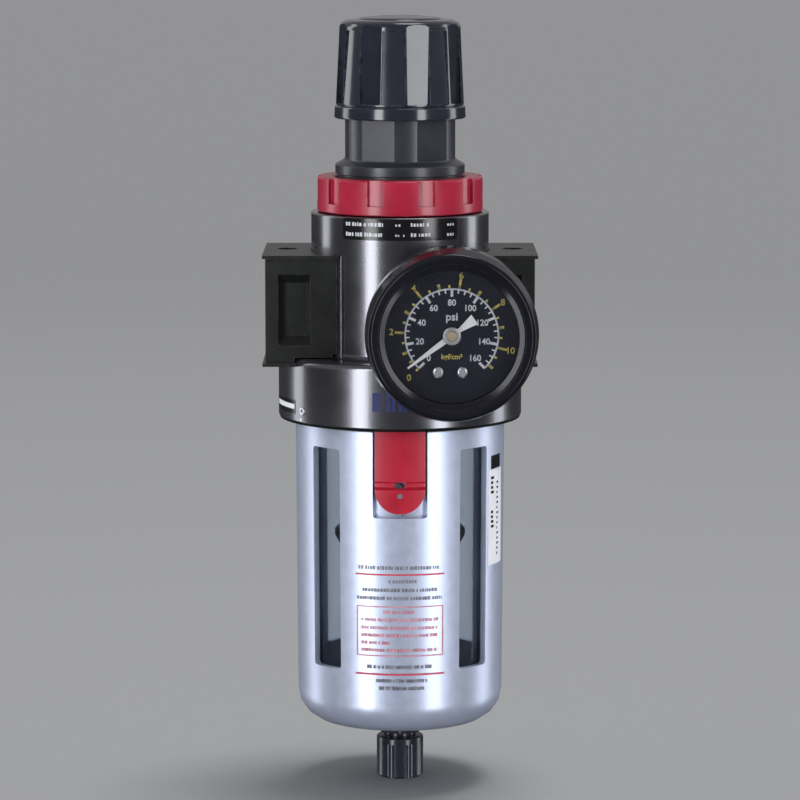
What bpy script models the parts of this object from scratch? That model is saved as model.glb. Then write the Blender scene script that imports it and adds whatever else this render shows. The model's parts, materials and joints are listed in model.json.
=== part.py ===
"""Filter-regulator for compressed air: adjusting knob over a bonnet, die-cast body with two port blocks,
pressure gauge on the front, and a guarded bowl with a drain cock.

Metres, +Z up. The origin is where the port axis crosses the vertical axis. The front, with the gauge and
the bowl latch, faces -Y, and the inlet is at -X.
"""

import math

import bmesh
import bpy
from mathutils import Matrix, Vector

MM = 0.001
GAP = 0.3  # clearance that neighbouring pieces keep
FINE_ROUND = 64  # steps of a curve that shows close to
ROUND = 32  # steps of a large turned piece
INNER_ROUND = 24  # steps of a hidden one
SMALL_ROUND = 16  # steps of a small one

# Body
BODY_R = 29.4
BODY_TOP = 31.0
NECK_R = 24.4
NECK_TOP = 36.4
COLLAR_R = 40.4
COLLAR_TOP = -15.7
FOOT = 1.2  # fillet between the cylinder and the collar
COLLAR_BOTTOM = -36.5
CHAMBER_R = 21.5
CHAMBER_FLOOR = 22.0
SEAT_Z = 4.0
SEAT_R = 5.0
VALVE_BORE_R = 8.0
BOSS_R = 13.0
BOSS_BORE_R = 9.6
BOSS_BOTTOM = -24.0
PORT_BORE_R = 9.0
GAUGE_X = 16.5
GAUGE_Z = -4.3
GAUGE_BOSS_R = 8.0
GAUGE_BOSS_FRONT = 31.3

# Port blocks
BLOCK_INNER = 19.8
BLOCK_OUTER = 44.0
BLOCK_HALF_Y = 21.5
BLOCK_TOP = 18.2
BLOCK_BOTTOM = -18.3
LIP = 1.0
INSERT_R = 12.0
RECESS_X = 34.55
RECESS_WIDTH = 11.1
RECESS_HEIGHT = 24.8
RECESS_DEPTH = 4.2

# Bonnet, lock ring and knob
RING_R = 27.4
RING_BOTTOM = 31.3
RING_TOP = 42.8
RING_POCKETS = 10
RING_POCKET_TURN = 18.5
BONNET_R = 18.6
BONNET_FLAT = 17.7
BONNET_BORE_R = 14.6
BONNET_TOP = 71.0
KNOB_BOTTOM = 61.8
KNOB_SKIRT_TOP = 65.7
KNOB_RIM = 92.7
KNOB_FLUTES = 8
KNOB_FLUTE_TURN = -6.5
KNOB_FLUTE_WIDTH = 8.0
SCREW_R = 3.9

# Springs
MAIN_SPRING = {"radius": 10.5, "wire": 1.3, "bottom": 40.0, "top": 60.7, "turns": 5.0}
VALVE_SPRING = {"radius": 5.7, "wire": 0.5, "bottom": -14.5, "top": -3.3, "turns": 4.0}
LATCH_SPRING = {"radius": 0.95, "wire": 0.25, "bottom": -66.2, "top": -53.4, "turns": 5.0}

# Bowl, guard, latch and drain
GUARD_R = 34.78
GUARD_LOW_R = 34.1
GUARD_NECK_R = 33.9
GUARD_SHOULDER = -38.2
GUARD_BOTTOM = -139.5
GUARD_CORNER = 10.0
WINDOW_TOP = -44.7
WINDOW_BOTTOM = -117.9
WINDOW_WIDTH = 12.4
LATCH_WIDTH = 16.5
LATCH_SLOT_WIDTH = 17.8
LATCH_SLOT_BOTTOM = -66.6
LATCH_TOP = -37.0
LATCH_STEP = -56.0
LATCH_BOTTOM = -65.0
DRAIN_R = 7.85
DRAIN_TOP = -146.3
DRAIN_BOTTOM = -160.0

# Gauge, measured forwards from the vertical axis
CASE_R = 27.8
CASE_BACK = 41.2
CASE_FRONT = 55.7
BEZEL_R = 27.4
BEZEL_FRONT = 60.9
BEZEL_OPENING = 21.3
DIAL_FRONT = 52.0
DIAL_R = 23.4
DIAL_SCREWS = ((-4.4, -11.9), (3.4, -11.9))
PORT_THREAD_R = 9.6
POINTER_REST = 126.5  # degrees anticlockwise from straight up
SECTOR_R = 9.5
SECTOR_PIVOT = 11.3
SECTOR_REST = 21.5  # degrees clockwise from straight up


def clear_scene():
    for item in list(bpy.data.objects):
        bpy.data.objects.remove(item, do_unlink=True)


def new_collection(name, shown=True):
    made = bpy.data.collections.new(name)
    made.hide_render = not shown
    bpy.context.scene.collection.children.link(made)
    return made


clear_scene()
PARTS = new_collection("air_pressure_regulator")
CUTTERS = new_collection("cutters", shown=False)


def material(name, colour, roughness, metallic=0.0):
    made = bpy.data.materials.new(name)
    made.use_nodes = True
    shader = made.node_tree.nodes["Principled BSDF"]
    shader.inputs["Base Color"].default_value = (*colour, 1.0)
    shader.inputs["Roughness"].default_value = roughness
    shader.inputs["Metallic"].default_value = metallic
    made.diffuse_color = (*colour, 1.0)
    return made


GUNMETAL = ("gunmetal_paint", (0.085, 0.085, 0.095), 0.28, 0.6)
BLACK_NYLON = ("black_nylon", (0.018, 0.018, 0.02), 0.45)
KNOB_PLASTIC = ("knob_plastic", (0.02, 0.022, 0.035), 0.25)
RED_PLASTIC = ("red_plastic", (0.45, 0.01, 0.035), 0.25)
SILVER_PAINT = ("silver_paint", (0.5, 0.54, 0.66), 0.4, 0.35)
CLEAR_PLASTIC = ("clear_polycarbonate", (0.75, 0.8, 0.85), 0.08)
STEEL = ("zinc_plated_steel", (0.55, 0.56, 0.58), 0.35, 1.0)
BRASS = ("brass", (0.62, 0.42, 0.16), 0.3, 1.0)
RUBBER = ("nitrile_rubber", (0.02, 0.02, 0.02), 0.7)
WHITE_FILTER = ("sintered_resin", (0.8, 0.8, 0.76), 0.85)
GLASS = ("clear_lens", (0.8, 0.84, 0.88), 0.04)
DIAL_BLACK = ("dial_enamel", (0.012, 0.014, 0.03), 0.5)
POINTER_WHITE = ("pointer_enamel", (0.8, 0.8, 0.78), 0.45)


def place(mesh, name, look, parent=None):
    """Wraps a mesh in an object of its own, with its own material, or in a cutter when look is None."""
    made = bpy.data.objects.new(name, mesh)
    (PARTS if look else CUTTERS).objects.link(made)
    if look:
        slot, colour, roughness, *metallic = look
        mesh.materials.append(material(f"{name}_{slot}", colour, roughness, *metallic))
    else:
        made.hide_render = True
        made.display_type = "WIRE"
    made.parent = parent
    return made


def mesh_from(bm, name):
    mesh = bpy.data.meshes.new(name)
    bmesh.ops.recalc_face_normals(bm, faces=bm.faces)
    bm.to_mesh(mesh)
    bm.free()
    return mesh


def box(name, low, high, look=None, parent=None, turn=0.0, tilt=0.0):
    """A box between two corners; turn is about Z, and tilt leans it about its own middle before that."""
    low, high = Vector(low) * MM, Vector(high) * MM
    middle = (low + high) / 2
    bm = bmesh.new()
    bmesh.ops.create_cube(bm, size=1.0)
    bmesh.ops.scale(bm, vec=high - low, verts=bm.verts)
    bmesh.ops.translate(bm, vec=middle, verts=bm.verts)
    if tilt:
        lean = Matrix.Rotation(math.radians(tilt), 3, "Y")
        bmesh.ops.rotate(bm, cent=middle, matrix=lean, verts=bm.verts)
    made = place(mesh_from(bm, name), name, look, parent)
    made.rotation_euler.z = math.radians(turn)
    return made


def rod(name, radius, low, high, axis="Z", at=(0, 0), look=None, parent=None, sides=SMALL_ROUND):
    """A cylinder or prism along an axis, from low to high, at two coordinates across that axis."""
    bm = bmesh.new()
    bmesh.ops.create_cone(
        bm, cap_ends=True, segments=sides, radius1=radius * MM, radius2=radius * MM, depth=(high - low) * MM
    )
    lift = Vector((0, 0, (high + low) / 2 * MM))
    bmesh.ops.translate(bm, vec=lift, verts=bm.verts)
    if axis == "X":
        lean = Matrix.Rotation(math.radians(90), 3, "Y")
        bmesh.ops.rotate(bm, cent=(0, 0, 0), matrix=lean, verts=bm.verts)
        offset = Vector((0, at[0], at[1]))
    elif axis == "Y":
        lean = Matrix.Rotation(math.radians(-90), 3, "X")
        bmesh.ops.rotate(bm, cent=(0, 0, 0), matrix=lean, verts=bm.verts)
        offset = Vector((at[0], 0, at[1]))
    else:
        offset = Vector((at[0], at[1], 0))
    bmesh.ops.translate(bm, vec=offset * MM, verts=bm.verts)
    return place(mesh_from(bm, name), name, look, parent)


def turned(name, profile, look, steps=ROUND, ring=False, parent=None):
    """A turned piece: its (radius, height) profile runs down outside, and a ring's comes back up inside."""
    bm = bmesh.new()
    points = [bm.verts.new((radius * MM, 0, height * MM)) for radius, height in profile]
    for first, second in zip(points, points[1:]):
        bm.edges.new((first, second))
    if ring:
        bm.edges.new((points[-1], points[0]))
    mesh = bpy.data.meshes.new(name)
    bm.to_mesh(mesh)
    bm.free()
    made = place(mesh, name, look, parent)
    screw = made.modifiers.new("Turn", "SCREW")
    screw.axis = "Z"
    screw.angle = math.radians(360)
    screw.steps = steps
    screw.render_steps = steps
    screw.use_merge_vertices = True
    screw.merge_threshold = 0.00001
    screw.use_smooth_shade = True
    return made


def arc(centre, radius, start, end, count=4):
    """Points of (radius, height) along an arc, angles in degrees from the outward direction."""
    steps = [math.radians(start + (end - start) * i / count) for i in range(count + 1)]
    return [(centre[0] + radius * math.cos(a), centre[1] + radius * math.sin(a)) for a in steps]


def combine(target, others, operation):
    for other in others:
        step = target.modifiers.new(other.name, "BOOLEAN")
        step.operation = operation
        step.object = other
    return target


def cut(target, *others):
    return combine(target, others, "DIFFERENCE")


def join(target, *others):
    return combine(target, others, "UNION")


def coil(name, size, look, points_a_turn, at=(0, 0), parent=None):
    """A wire spring standing on Z: its ends' wire centres sit one wire radius inside bottom and top."""
    data = bpy.data.curves.new(name, "CURVE")
    data.dimensions = "3D"
    data.bevel_depth = size["wire"] * MM
    data.bevel_resolution = 2
    data.use_fill_caps = True
    count = int(size["turns"] * points_a_turn) + 1
    low, high = size["bottom"] + size["wire"], size["top"] - size["wire"]
    line = data.splines.new("POLY")
    line.points.add(count - 1)
    for index, point in enumerate(line.points):
        share = index / (count - 1)
        angle = share * size["turns"] * 2 * math.pi
        x = at[0] + size["radius"] * math.cos(angle)
        y = at[1] + size["radius"] * math.sin(angle)
        point.co = (x * MM, y * MM, (low + (high - low) * share) * MM, 1)
    return place(data, name, look, parent)


def body():
    outer = [
        (NECK_R, NECK_TOP),
        (NECK_R, BODY_TOP),
        (BODY_R - 0.6, BODY_TOP),
        (BODY_R, BODY_TOP - 0.6),
        (BODY_R, COLLAR_TOP + FOOT),
        (BODY_R + FOOT, COLLAR_TOP),
        *arc((COLLAR_R - 2.2, COLLAR_TOP - 2.2), 2.2, 90, 0, 2),
        (COLLAR_R, COLLAR_BOTTOM),
    ]
    bowl_side = [
        (35.2, COLLAR_BOTTOM),
        (35.2, -33.4),
        (37.4, -33.4),
        (37.4, -29.4),
        (35.2, -29.4),
        (35.2, -26.3),
        (31.0, -26.3),
        (31.0, -19.2),
        (26.0, -19.2),
        (26.0, -13.0),
        (BOSS_R, -13.0),
        (BOSS_R, BOSS_BOTTOM),
    ]
    valve_side = [
        (BOSS_BORE_R, BOSS_BOTTOM),
        (BOSS_BORE_R, -14.5),
        (VALVE_BORE_R, -14.5),
        (VALVE_BORE_R, SEAT_Z - 1.0),
        (SEAT_R + 0.8, SEAT_Z - 1.0),
        (SEAT_R, SEAT_Z),
        (SEAT_R, CHAMBER_FLOOR),
        (CHAMBER_R, CHAMBER_FLOOR),
        (CHAMBER_R, NECK_TOP),
    ]
    casting = turned("body_casting", outer + bowl_side + valve_side, GUNMETAL, ring=True)
    added = []
    for side, sign in (("inlet", -1), ("outlet", 1)):
        for face, depth in (("front", -1), ("rear", 1)):
            low_x, high_x = sorted((18.4 * sign, 19.5 * sign))
            low_y, high_y = sorted((20.2 * depth, 23.2 * depth))
            added.append(box(f"flange_{side}_{face}", (low_x, low_y, -18.0), (high_x, high_y, 18.0)))
    front = rod("boss_front", GAUGE_BOSS_R, -GAUGE_BOSS_FRONT, -21.0, "Y", (GAUGE_X, GAUGE_Z))
    rear = rod("boss_rear", GAUGE_BOSS_R, 21.0, GAUGE_BOSS_FRONT, "Y", (GAUGE_X, GAUGE_Z))
    join(casting, *added, front, rear)
    cuts = [
        rod("inlet_bore", PORT_BORE_R, -34, -13.5, "X"),
        rod("outlet_bore", PORT_BORE_R, 13.5, 34, "X"),
        rod("inlet_drop", 5.0, -14, 0, "Z", (-19.5, 0)),
        rod("outlet_rise", 3.5, 0, 24, "Z", (17.5, 0)),
        rod("gauge_port_front", 5.3, -33, -20, "Y", (GAUGE_X, GAUGE_Z)),
        rod("gauge_port_rear", 5.3, 20, 33, "Y", (GAUGE_X, GAUGE_Z)),
        rod("gauge_passage", 1.5, -21, 21, "Y", (GAUGE_X, GAUGE_Z), sides=12),
    ]
    for index in range(4):
        cuts.append(box(f"lug_notch_{index}", (-7.0, -37.4, -38.0), (7.0, -33.0, -32.0), turn=90 * index))
    cut(casting, *cuts)


def port_block(side, sign):
    def across(near, far, y0, y1, z0, z1, name):
        low, high = sorted((near * sign, far * sign))
        return box(name, (low, y0, z0), (high, y1, z1))

    low, high = sorted((BLOCK_INNER * sign, BLOCK_OUTER * sign))
    made = box(
        f"{side}_port_block",
        (low, -BLOCK_HALF_Y, BLOCK_BOTTOM + LIP),
        (high, BLOCK_HALF_Y, BLOCK_TOP - LIP),
        BLACK_NYLON,
    )
    reach = BLOCK_HALF_Y + LIP
    edge = BLOCK_OUTER + LIP
    top = across(BLOCK_INNER, edge, -reach, reach, BLOCK_TOP - LIP - 0.1, BLOCK_TOP, f"{side}_lip_top")
    foot_top = BLOCK_BOTTOM + LIP + 0.1
    foot = across(BLOCK_INNER, edge, -reach, reach, BLOCK_BOTTOM, foot_top, f"{side}_lip_bottom")
    join(made, top, foot)
    cuts = [
        rod(f"{side}_body_clearance", BODY_R + GAP, -30, 30, sides=FINE_ROUND),
        rod(f"{side}_foot_clearance", BODY_R + FOOT + GAP, -30, COLLAR_TOP + FOOT + GAP, sides=FINE_ROUND),
        rod(f"{side}_collar_clearance", COLLAR_R + GAP, -30, COLLAR_TOP + GAP, sides=FINE_ROUND),
        across(18, BLOCK_INNER + 0.1, -25, 25, -20, 20, f"{side}_flange_clearance"),
        rod(f"{side}_insert_bore", INSERT_R + GAP, *sorted((20 * sign, 50 * sign)), "X", sides=ROUND),
    ]
    for face, depth in (("front", -1), ("rear", 1)):
        bm = bmesh.new()
        bmesh.ops.create_cone(bm, cap_ends=True, segments=4, radius1=1, radius2=0.7, depth=1)
        turn = Matrix.Rotation(math.radians(45), 3, "Z")
        bmesh.ops.rotate(bm, cent=(0, 0, 0), matrix=turn, verts=bm.verts)
        root = math.sqrt(0.5)
        size = Vector((RECESS_WIDTH / 2 / root, RECESS_HEIGHT / 2 / root, RECESS_DEPTH)) * MM
        bmesh.ops.scale(bm, vec=size, verts=bm.verts)
        lean = Matrix.Rotation(math.radians(-90 if depth < 0 else 90), 3, "X")
        bmesh.ops.rotate(bm, cent=(0, 0, 0), matrix=lean, verts=bm.verts)
        middle = Vector((RECESS_X * sign, depth * (BLOCK_HALF_Y + 0.7 - RECESS_DEPTH / 2), 0.2)) * MM
        bmesh.ops.translate(bm, vec=middle, verts=bm.verts)
        name = f"{side}_{face}_recess"
        cuts.append(place(mesh_from(bm, name), name, None))
    cuts.append(rod(f"{side}_top_pocket", 3.3, 16.4, 20, "Z", (37.3 * sign, 2.0), sides=16))
    if sign > 0:
        cuts.append(rod("boss_clearance", GAUGE_BOSS_R + GAP, -34, 34, "Y", (GAUGE_X, GAUGE_Z)))
    cut(made, *cuts)
    near, far = sorted((30.0 * sign, 43.7 * sign))
    insert = rod(f"{side}_port_insert", INSERT_R, near, far, "X", look=BRASS, sides=32)
    cut(insert, rod(f"{side}_thread_bore", PORT_THREAD_R, near - 2, far + 2, "X", sides=32))


def bonnet_and_ring():
    outer = [
        (12.0, BONNET_TOP),
        (14.5, BONNET_TOP - 0.4),
        (16.5, 68.0),
        (BONNET_R, 66.0),
        (BONNET_R, 48.1),
        (20.6, 47.1),
        (21.4, 46.6),
        (21.4, 43.7),
        (20.6, 43.4),
        (20.6, 40.4),
        (24.2, 40.4),
        (24.2, 37.6),
    ]
    inner = [
        (BONNET_BORE_R, 37.6),
        (BONNET_BORE_R, 68.0),
        (4.3, 68.0),
        (4.3, BONNET_TOP),
    ]
    bonnet = turned("bonnet", outer + inner, BLACK_NYLON, ring=True)
    flats = []
    for index in range(6):
        flats.append(
            box(f"bonnet_flat_{index}", (-12, -24, 48.4), (12, -BONNET_FLAT, 72), turn=-24.0 + 60.0 * index)
        )
    cut(bonnet, *flats)
    ring = turned(
        "lock_ring",
        [
            (22.4, RING_TOP),
            (RING_R - 0.8, RING_TOP),
            (RING_R, RING_TOP - 0.8),
            (RING_R, RING_BOTTOM + 0.5),
            (RING_R - 0.5, RING_BOTTOM),
            (NECK_R + 0.4, RING_BOTTOM),
            (NECK_R + 0.4, 40.7),
            (21.8, 40.7),
            (21.8, RING_TOP - 0.6),
        ],
        RED_PLASTIC,
        steps=40,
        ring=True,
    )
    pockets = []
    for index in range(RING_POCKETS):
        turn = RING_POCKET_TURN + 360.0 / RING_POCKETS * index
        pockets.append(box(f"ring_pocket_{index}", (-3.8, -29, 34.5), (3.8, -26.2, 44), turn=turn))
    cut(ring, *pockets)


def diaphragm_and_valve():
    turned(
        "diaphragm",
        [
            (24.2, 37.3),
            (24.2, 36.7),
            (20.6, 36.7),
            (18.0, 34.4),
            (15.4, 36.7),
            (3.3, 36.7),
            (3.3, 37.3),
            (15.6, 37.3),
            (18.0, 35.2),
            (20.4, 37.3),
        ],
        RUBBER,
        steps=INNER_ROUND,
        ring=True,
    )
    turned(
        "diaphragm_plate",
        [
            (0, 38.8),
            (8.6, 38.8),
            (8.8, 40.6),
            (9.0, 38.8 + 0.9),
            (14.0, 39.7),
            (14.0, 37.6),
            (3.0, 37.6),
            (3.0, 33.0),
            (0, 33.0),
        ],
        STEEL,
        steps=INNER_ROUND,
    )
    turned(
        "relief_seat",
        [(6.0, 36.4), (13.0, 36.4), (13.0, 35.4), (6.0, 34.2), (3.3, 34.2), (3.3, 36.4)],
        BRASS,
        steps=INNER_ROUND,
        ring=True,
    )
    rod("valve_stem", 1.5, SEAT_Z, 32.7, look=STEEL, sides=16)
    turned(
        "valve_poppet",
        [
            (0, SEAT_Z - GAP),
            (SEAT_R - 0.6, SEAT_Z - GAP),
            (7.0, SEAT_Z - 2.4),
            (7.0, -3.0),
            (2.2, -3.0),
            (2.2, -18.0),
            (0, -18.0),
        ],
        BRASS,
        steps=INNER_ROUND,
    )
    coil("valve_spring", VALVE_SPRING, STEEL, 10)
    guide = turned(
        "valve_guide",
        [
            (2.6, -14.8),
            (9.3, -14.8),
            (9.3, BOSS_BOTTOM),
            (4.0, BOSS_BOTTOM),
            (4.0, -32.0),
            (0, -32.0),
            (0, -21.0),
            (2.6, -21.0),
        ],
        BRASS,
        steps=INNER_ROUND,
        ring=True,
    )
    holes = []
    for index in range(4):
        angle = math.radians(45 + 90 * index)
        at = (6.4 * math.cos(angle), 6.4 * math.sin(angle))
        holes.append(rod(f"guide_hole_{index}", 1.5, -26, -13, at=at, sides=10))
    cut(guide, *holes)


def adjuster():
    screw = turned(
        "adjusting_screw",
        [(0, 73.0), (6.5, 73.0), (6.5, 71.6), (SCREW_R, 71.6), (SCREW_R, 46.0), (0, 46.0)],
        STEEL,
        steps=SMALL_ROUND,
    )
    join(screw, rod("screw_drive", 4.5, 72.5, 87.0, sides=6))
    clip = turned(
        "screw_clip", [(4.2, 67.7), (6.4, 67.7), (6.4, 66.9), (4.2, 66.9)], STEEL, SMALL_ROUND, ring=True
    )
    cut(clip, box("clip_gap", (-1.2, -8, 66), (1.2, 0, 68.5)))
    nut = turned(
        "adjusting_nut",
        [
            (4.2, 66.0),
            (8.6, 66.0),
            (8.6, 64.6),
            (14.1, 64.6),
            (14.1, 61.0),
            (9.0, 61.0),
            (8.4, 59.2),
            (4.2, 59.2),
        ],
        BRASS,
        steps=INNER_ROUND,
        ring=True,
    )
    cut(nut, *[box(f"nut_flat_{i}", (-8, -16, 58), (8, -12.9, 70), turn=180 * i) for i in range(2)])
    coil("adjusting_spring", MAIN_SPRING, STEEL, 12)
    knob = turned(
        "adjusting_knob",
        [
            (14.5, 94.2),
            (16.6, 94.0),
            (18.5, KNOB_RIM),
            (19.7, 91.4),
            (21.2, KNOB_SKIRT_TOP + 0.8),
            (20.9, KNOB_SKIRT_TOP + 0.4),
            (21.5, KNOB_SKIRT_TOP),
            (21.7, KNOB_BOTTOM + 0.4),
            (21.4, KNOB_BOTTOM),
            (19.2, KNOB_BOTTOM),
            (19.2, 67.2),
            (16.9, 69.6),
            (16.9, 74.8),
            (9.0, 74.8),
            (9.0, 73.4),
            (7.0, 73.4),
            (7.0, 74.8),
            (5.0, 74.8),
            (5.0, 90.0),
            (6.0, 91.2),
            (14.5, 91.2),
        ],
        KNOB_PLASTIC,
        ring=True,
    )
    half = KNOB_FLUTE_WIDTH / 2
    flutes = []
    for index in range(KNOB_FLUTES):
        turn = KNOB_FLUTE_TURN + 360.0 / KNOB_FLUTES * index
        flutes.append(
            box(f"knob_flute_{index}", (-half, -24, KNOB_SKIRT_TOP + 1.2), (half, -19.5, 90.8), turn=turn)
        )
    cut(knob, *flutes)
    turned(
        "knob_cap",
        [(0, 95.5), (7.0, 95.3), (13.2, 94.7), (14.2, 94.1), (14.2, 91.5), (0, 91.5)],
        KNOB_PLASTIC,
    )


def filter_set():
    deflector = turned(
        "deflector",
        [(13.4, -16.6), (25.2, -16.6), (25.2, -23.6), (13.4, -23.6)],
        BLACK_NYLON,
        steps=INNER_ROUND,
        ring=True,
    )
    slots = []
    for index in range(8):
        slots.append(
            box(f"vane_slot_{index}", (-1.3, -28, -28), (1.3, -17.5, -12), turn=45 * index, tilt=40)
        )
    cut(deflector, *slots)
    turned(
        "filter_element",
        [(12.0, -27.0), (18.0, -27.0), (18.0, -72.0), (12.0, -72.0)],
        WHITE_FILTER,
        steps=INNER_ROUND,
        ring=True,
    )
    turned(
        "filter_baffle",
        [(2.8, -72.3), (18.4, -72.3), (18.4, -76.0), (20.8, -79.0), (20.8, -80.5), (2.8, -80.5)],
        BLACK_NYLON,
        steps=INNER_ROUND,
        ring=True,
    )
    turned(
        "baffle_stud",
        [(0, -32.3), (2.5, -32.3), (2.5, -80.8), (6.0, -80.8), (6.0, -85.0), (4.5, -86.5), (0, -86.5)],
        BLACK_NYLON,
        steps=SMALL_ROUND,
    )


def bowl_set():
    turned(
        "bowl",
        [
            (30.6, -20.3),
            (30.6, -22.4),
            (29.1, -22.4),
            (29.1, -24.4),
            (30.6, -24.4),
            (30.6, -26.6),
            (34.6, -26.6),
            (34.6, -29.4),
            (31.9, -29.4),
            *arc((22.4, -128.0), 8.8, 0, -90, 4),
            (5.3, -136.8),
            (5.3, -134.7),
            *arc((22.4, -128.0), 6.7, -90, 0, 4),
            (29.6, -29.6),
            (27.6, -27.0),
            (27.6, -20.3),
        ],
        CLEAR_PLASTIC,
        ring=True,
    )
    turned("bowl_o_ring", arc((30.05, -23.4), 0.65, 90, -210, 5), RUBBER, ring=True)
    guard = turned(
        "bowl_guard",
        [
            (GUARD_NECK_R, -29.7),
            (GUARD_NECK_R, -37.4),
            (GUARD_R, GUARD_SHOULDER),
            *arc((GUARD_LOW_R - GUARD_CORNER, GUARD_BOTTOM + GUARD_CORNER), GUARD_CORNER, 0, -90, 5),
            (9.8, GUARD_BOTTOM),
            (9.8, -137.3),
            *arc((24.0, -129.5), 7.8, -90, 0, 4),
            (32.4, -40.0),
            (32.4, -29.7),
        ],
        SILVER_PAINT,
        ring=True,
    )
    lugs = []
    for index in range(4):
        lugs.append(
            box(f"guard_lug_{index}", (-4.6, -36.8, -32.9), (4.6, -33.2, -29.9), turn=45 + 90 * index)
        )
    join(guard, *lugs)
    half = WINDOW_WIDTH / 2
    windows = []
    for index in range(4):
        low, high = (-half, -40, WINDOW_BOTTOM), (half, -25, WINDOW_TOP)
        windows.append(box(f"guard_window_{index}", low, high, turn=45 + 90 * index))
    slot = box(
        "latch_slot",
        (-LATCH_SLOT_WIDTH / 2, -40, LATCH_SLOT_BOTTOM),
        (LATCH_SLOT_WIDTH / 2, -25, -28),
    )
    cut(guard, *windows, slot)


def latch():
    button = turned(
        "latch_button",
        [
            (35.3, LATCH_TOP),
            (35.6, LATCH_STEP + 0.4),
            (36.4, LATCH_STEP - 0.6),
            (36.0, LATCH_BOTTOM),
            (32.5, LATCH_BOTTOM),
            (32.5, LATCH_TOP),
        ],
        RED_PLASTIC,
        steps=FINE_ROUND,
        ring=True,
    )
    half = LATCH_WIDTH / 2
    keep = box("latch_outline", (-half, -40, LATCH_BOTTOM + half), (half, -28, LATCH_TOP + 1))
    join(keep, rod("latch_round", half, -40, -28, "Y", (0, LATCH_BOTTOM + half), sides=32))
    combine(button, [keep], "INTERSECT")
    cut(button, box("latch_spring_pocket", (-1.7, -35.3, -66), (1.7, -32, -53)))
    coil("latch_spring", LATCH_SPRING, STEEL, 6, at=(0, -33.8))


def drain():
    turned(
        "drain_body",
        [(0, -131.0), (8.0, -131.0), (8.0, -133.1), (5.0, -133.1), (5.0, -152.0), (0, -152.0)],
        BLACK_NYLON,
        steps=SMALL_ROUND,
    )
    turned(
        "drain_seal",
        [(5.4, -133.4), (8.0, -133.4), (8.0, -134.4), (5.4, -134.4)],
        RUBBER,
        steps=SMALL_ROUND,
        ring=True,
    )
    nut = rod("drain_nut", 7.4, -144.9, -137.1, look=BLACK_NYLON, sides=6)
    cut(nut, rod("drain_nut_bore", 5.3, -148, -135))
    knob = turned(
        "drain_knob",
        [
            (5.4, DRAIN_TOP),
            (DRAIN_R - 0.6, DRAIN_TOP),
            (DRAIN_R, DRAIN_TOP - 0.6),
            (DRAIN_R, DRAIN_BOTTOM + 0.8),
            (DRAIN_R - 0.8, DRAIN_BOTTOM),
            (2.0, DRAIN_BOTTOM),
            (2.0, -153.5),
            (5.4, -153.5),
        ],
        BLACK_NYLON,
        steps=INNER_ROUND,
        ring=True,
    )
    grooves = []
    for index in range(8):
        angle = math.radians(22.5 + 45 * index)
        at = (8.9 * math.cos(angle), 8.9 * math.sin(angle))
        grooves.append(rod(f"drain_groove_{index}", 1.7, -162, -148.4, at=at, sides=10))
    cut(knob, *grooves)


def gauge():
    """The gauge is built standing on a parent empty whose +Z points forwards along the gauge's axis."""
    axis = bpy.data.objects.new("gauge_axis", None)
    PARTS.objects.link(axis)
    axis.location = (GAUGE_X * MM, 0, GAUGE_Z * MM)
    axis.rotation_euler = (math.radians(90), 0, 0)

    turned(
        "gauge_case",
        [
            (23.8, CASE_FRONT),
            (27.2, CASE_FRONT),
            (CASE_R, 52.6),
            (CASE_R, 43.0),
            (CASE_R - 1.6, CASE_BACK),
            (5.6, CASE_BACK),
            (5.6, 42.6),
            (23.8, 42.6),
        ],
        BLACK_NYLON,
        ring=True,
        parent=axis,
    )
    turned(
        "gauge_bezel",
        [
            (BEZEL_OPENING, 59.2),
            (23.1, 60.0),
            (23.4, 60.5),
            (25.4, BEZEL_FRONT),
            (26.6, 60.1),
            (BEZEL_R, 56.0),
            (24.9, 56.0),
            (24.9, 58.7),
            (BEZEL_OPENING, 58.7),
        ],
        BLACK_NYLON,
        ring=True,
        parent=axis,
    )
    turned(
        "gauge_window",
        [(0, 58.4), (24.6, 58.4), (24.6, 57.0), (0, 57.0)],
        GLASS,
        parent=axis,
    )
    dial = turned(
        "gauge_dial",
        [(0, DIAL_FRONT), (DIAL_R, DIAL_FRONT), (DIAL_R, DIAL_FRONT - 0.8), (0, DIAL_FRONT - 0.8)],
        DIAL_BLACK,
        parent=axis,
    )
    holes = [rod("dial_centre_hole", 1.4, 50, 53, parent=axis, sides=12)]
    for index, at in enumerate(DIAL_SCREWS):
        holes.append(rod(f"dial_screw_hole_{index}", 1.2, 50, 53, at=at, parent=axis, sides=12))
        screw = turned(
            f"dial_screw_{index + 1}",
            [(0, 53.1), (1.3, 53.1), (1.8, 52.8), (1.8, 52.3), (0.9, 52.3), (0.9, 49.9), (0, 49.9)],
            STEEL,
            steps=SMALL_ROUND,
            parent=axis,
        )
        screw.location = (at[0] * MM, at[1] * MM, 0)
        slot_low, slot_high = (at[0] - 2.2, at[1] - 0.25, 52.8), (at[0] + 2.2, at[1] + 0.25, 54.0)
        cut(screw, box(f"dial_screw_slot_{index}", slot_low, slot_high, parent=axis))
    cut(dial, *holes)

    movement(axis)
    socket = rod("gauge_socket", 5.0, 21.0, 44.0, look=BRASS, parent=axis)
    join(
        socket,
        rod("socket_hex", 8.0, 31.8, 40.8, parent=axis, sides=6),
        box("socket_arm", (-4, -21, 43.0), (4, 4, 45.0), parent=axis),
        box("socket_root", (-3.5, -21.0, 44.5), (3.5, -15.5, 48.9), parent=axis),
    )
    cut(
        socket,
        rod("socket_bore", 1.5, 19, 44.5, parent=axis, sides=12),
        rod("socket_tube_hole", 1.8, -6, 3.0, "X", (-18.5, 46.6), parent=axis, sides=12),
    )


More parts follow.
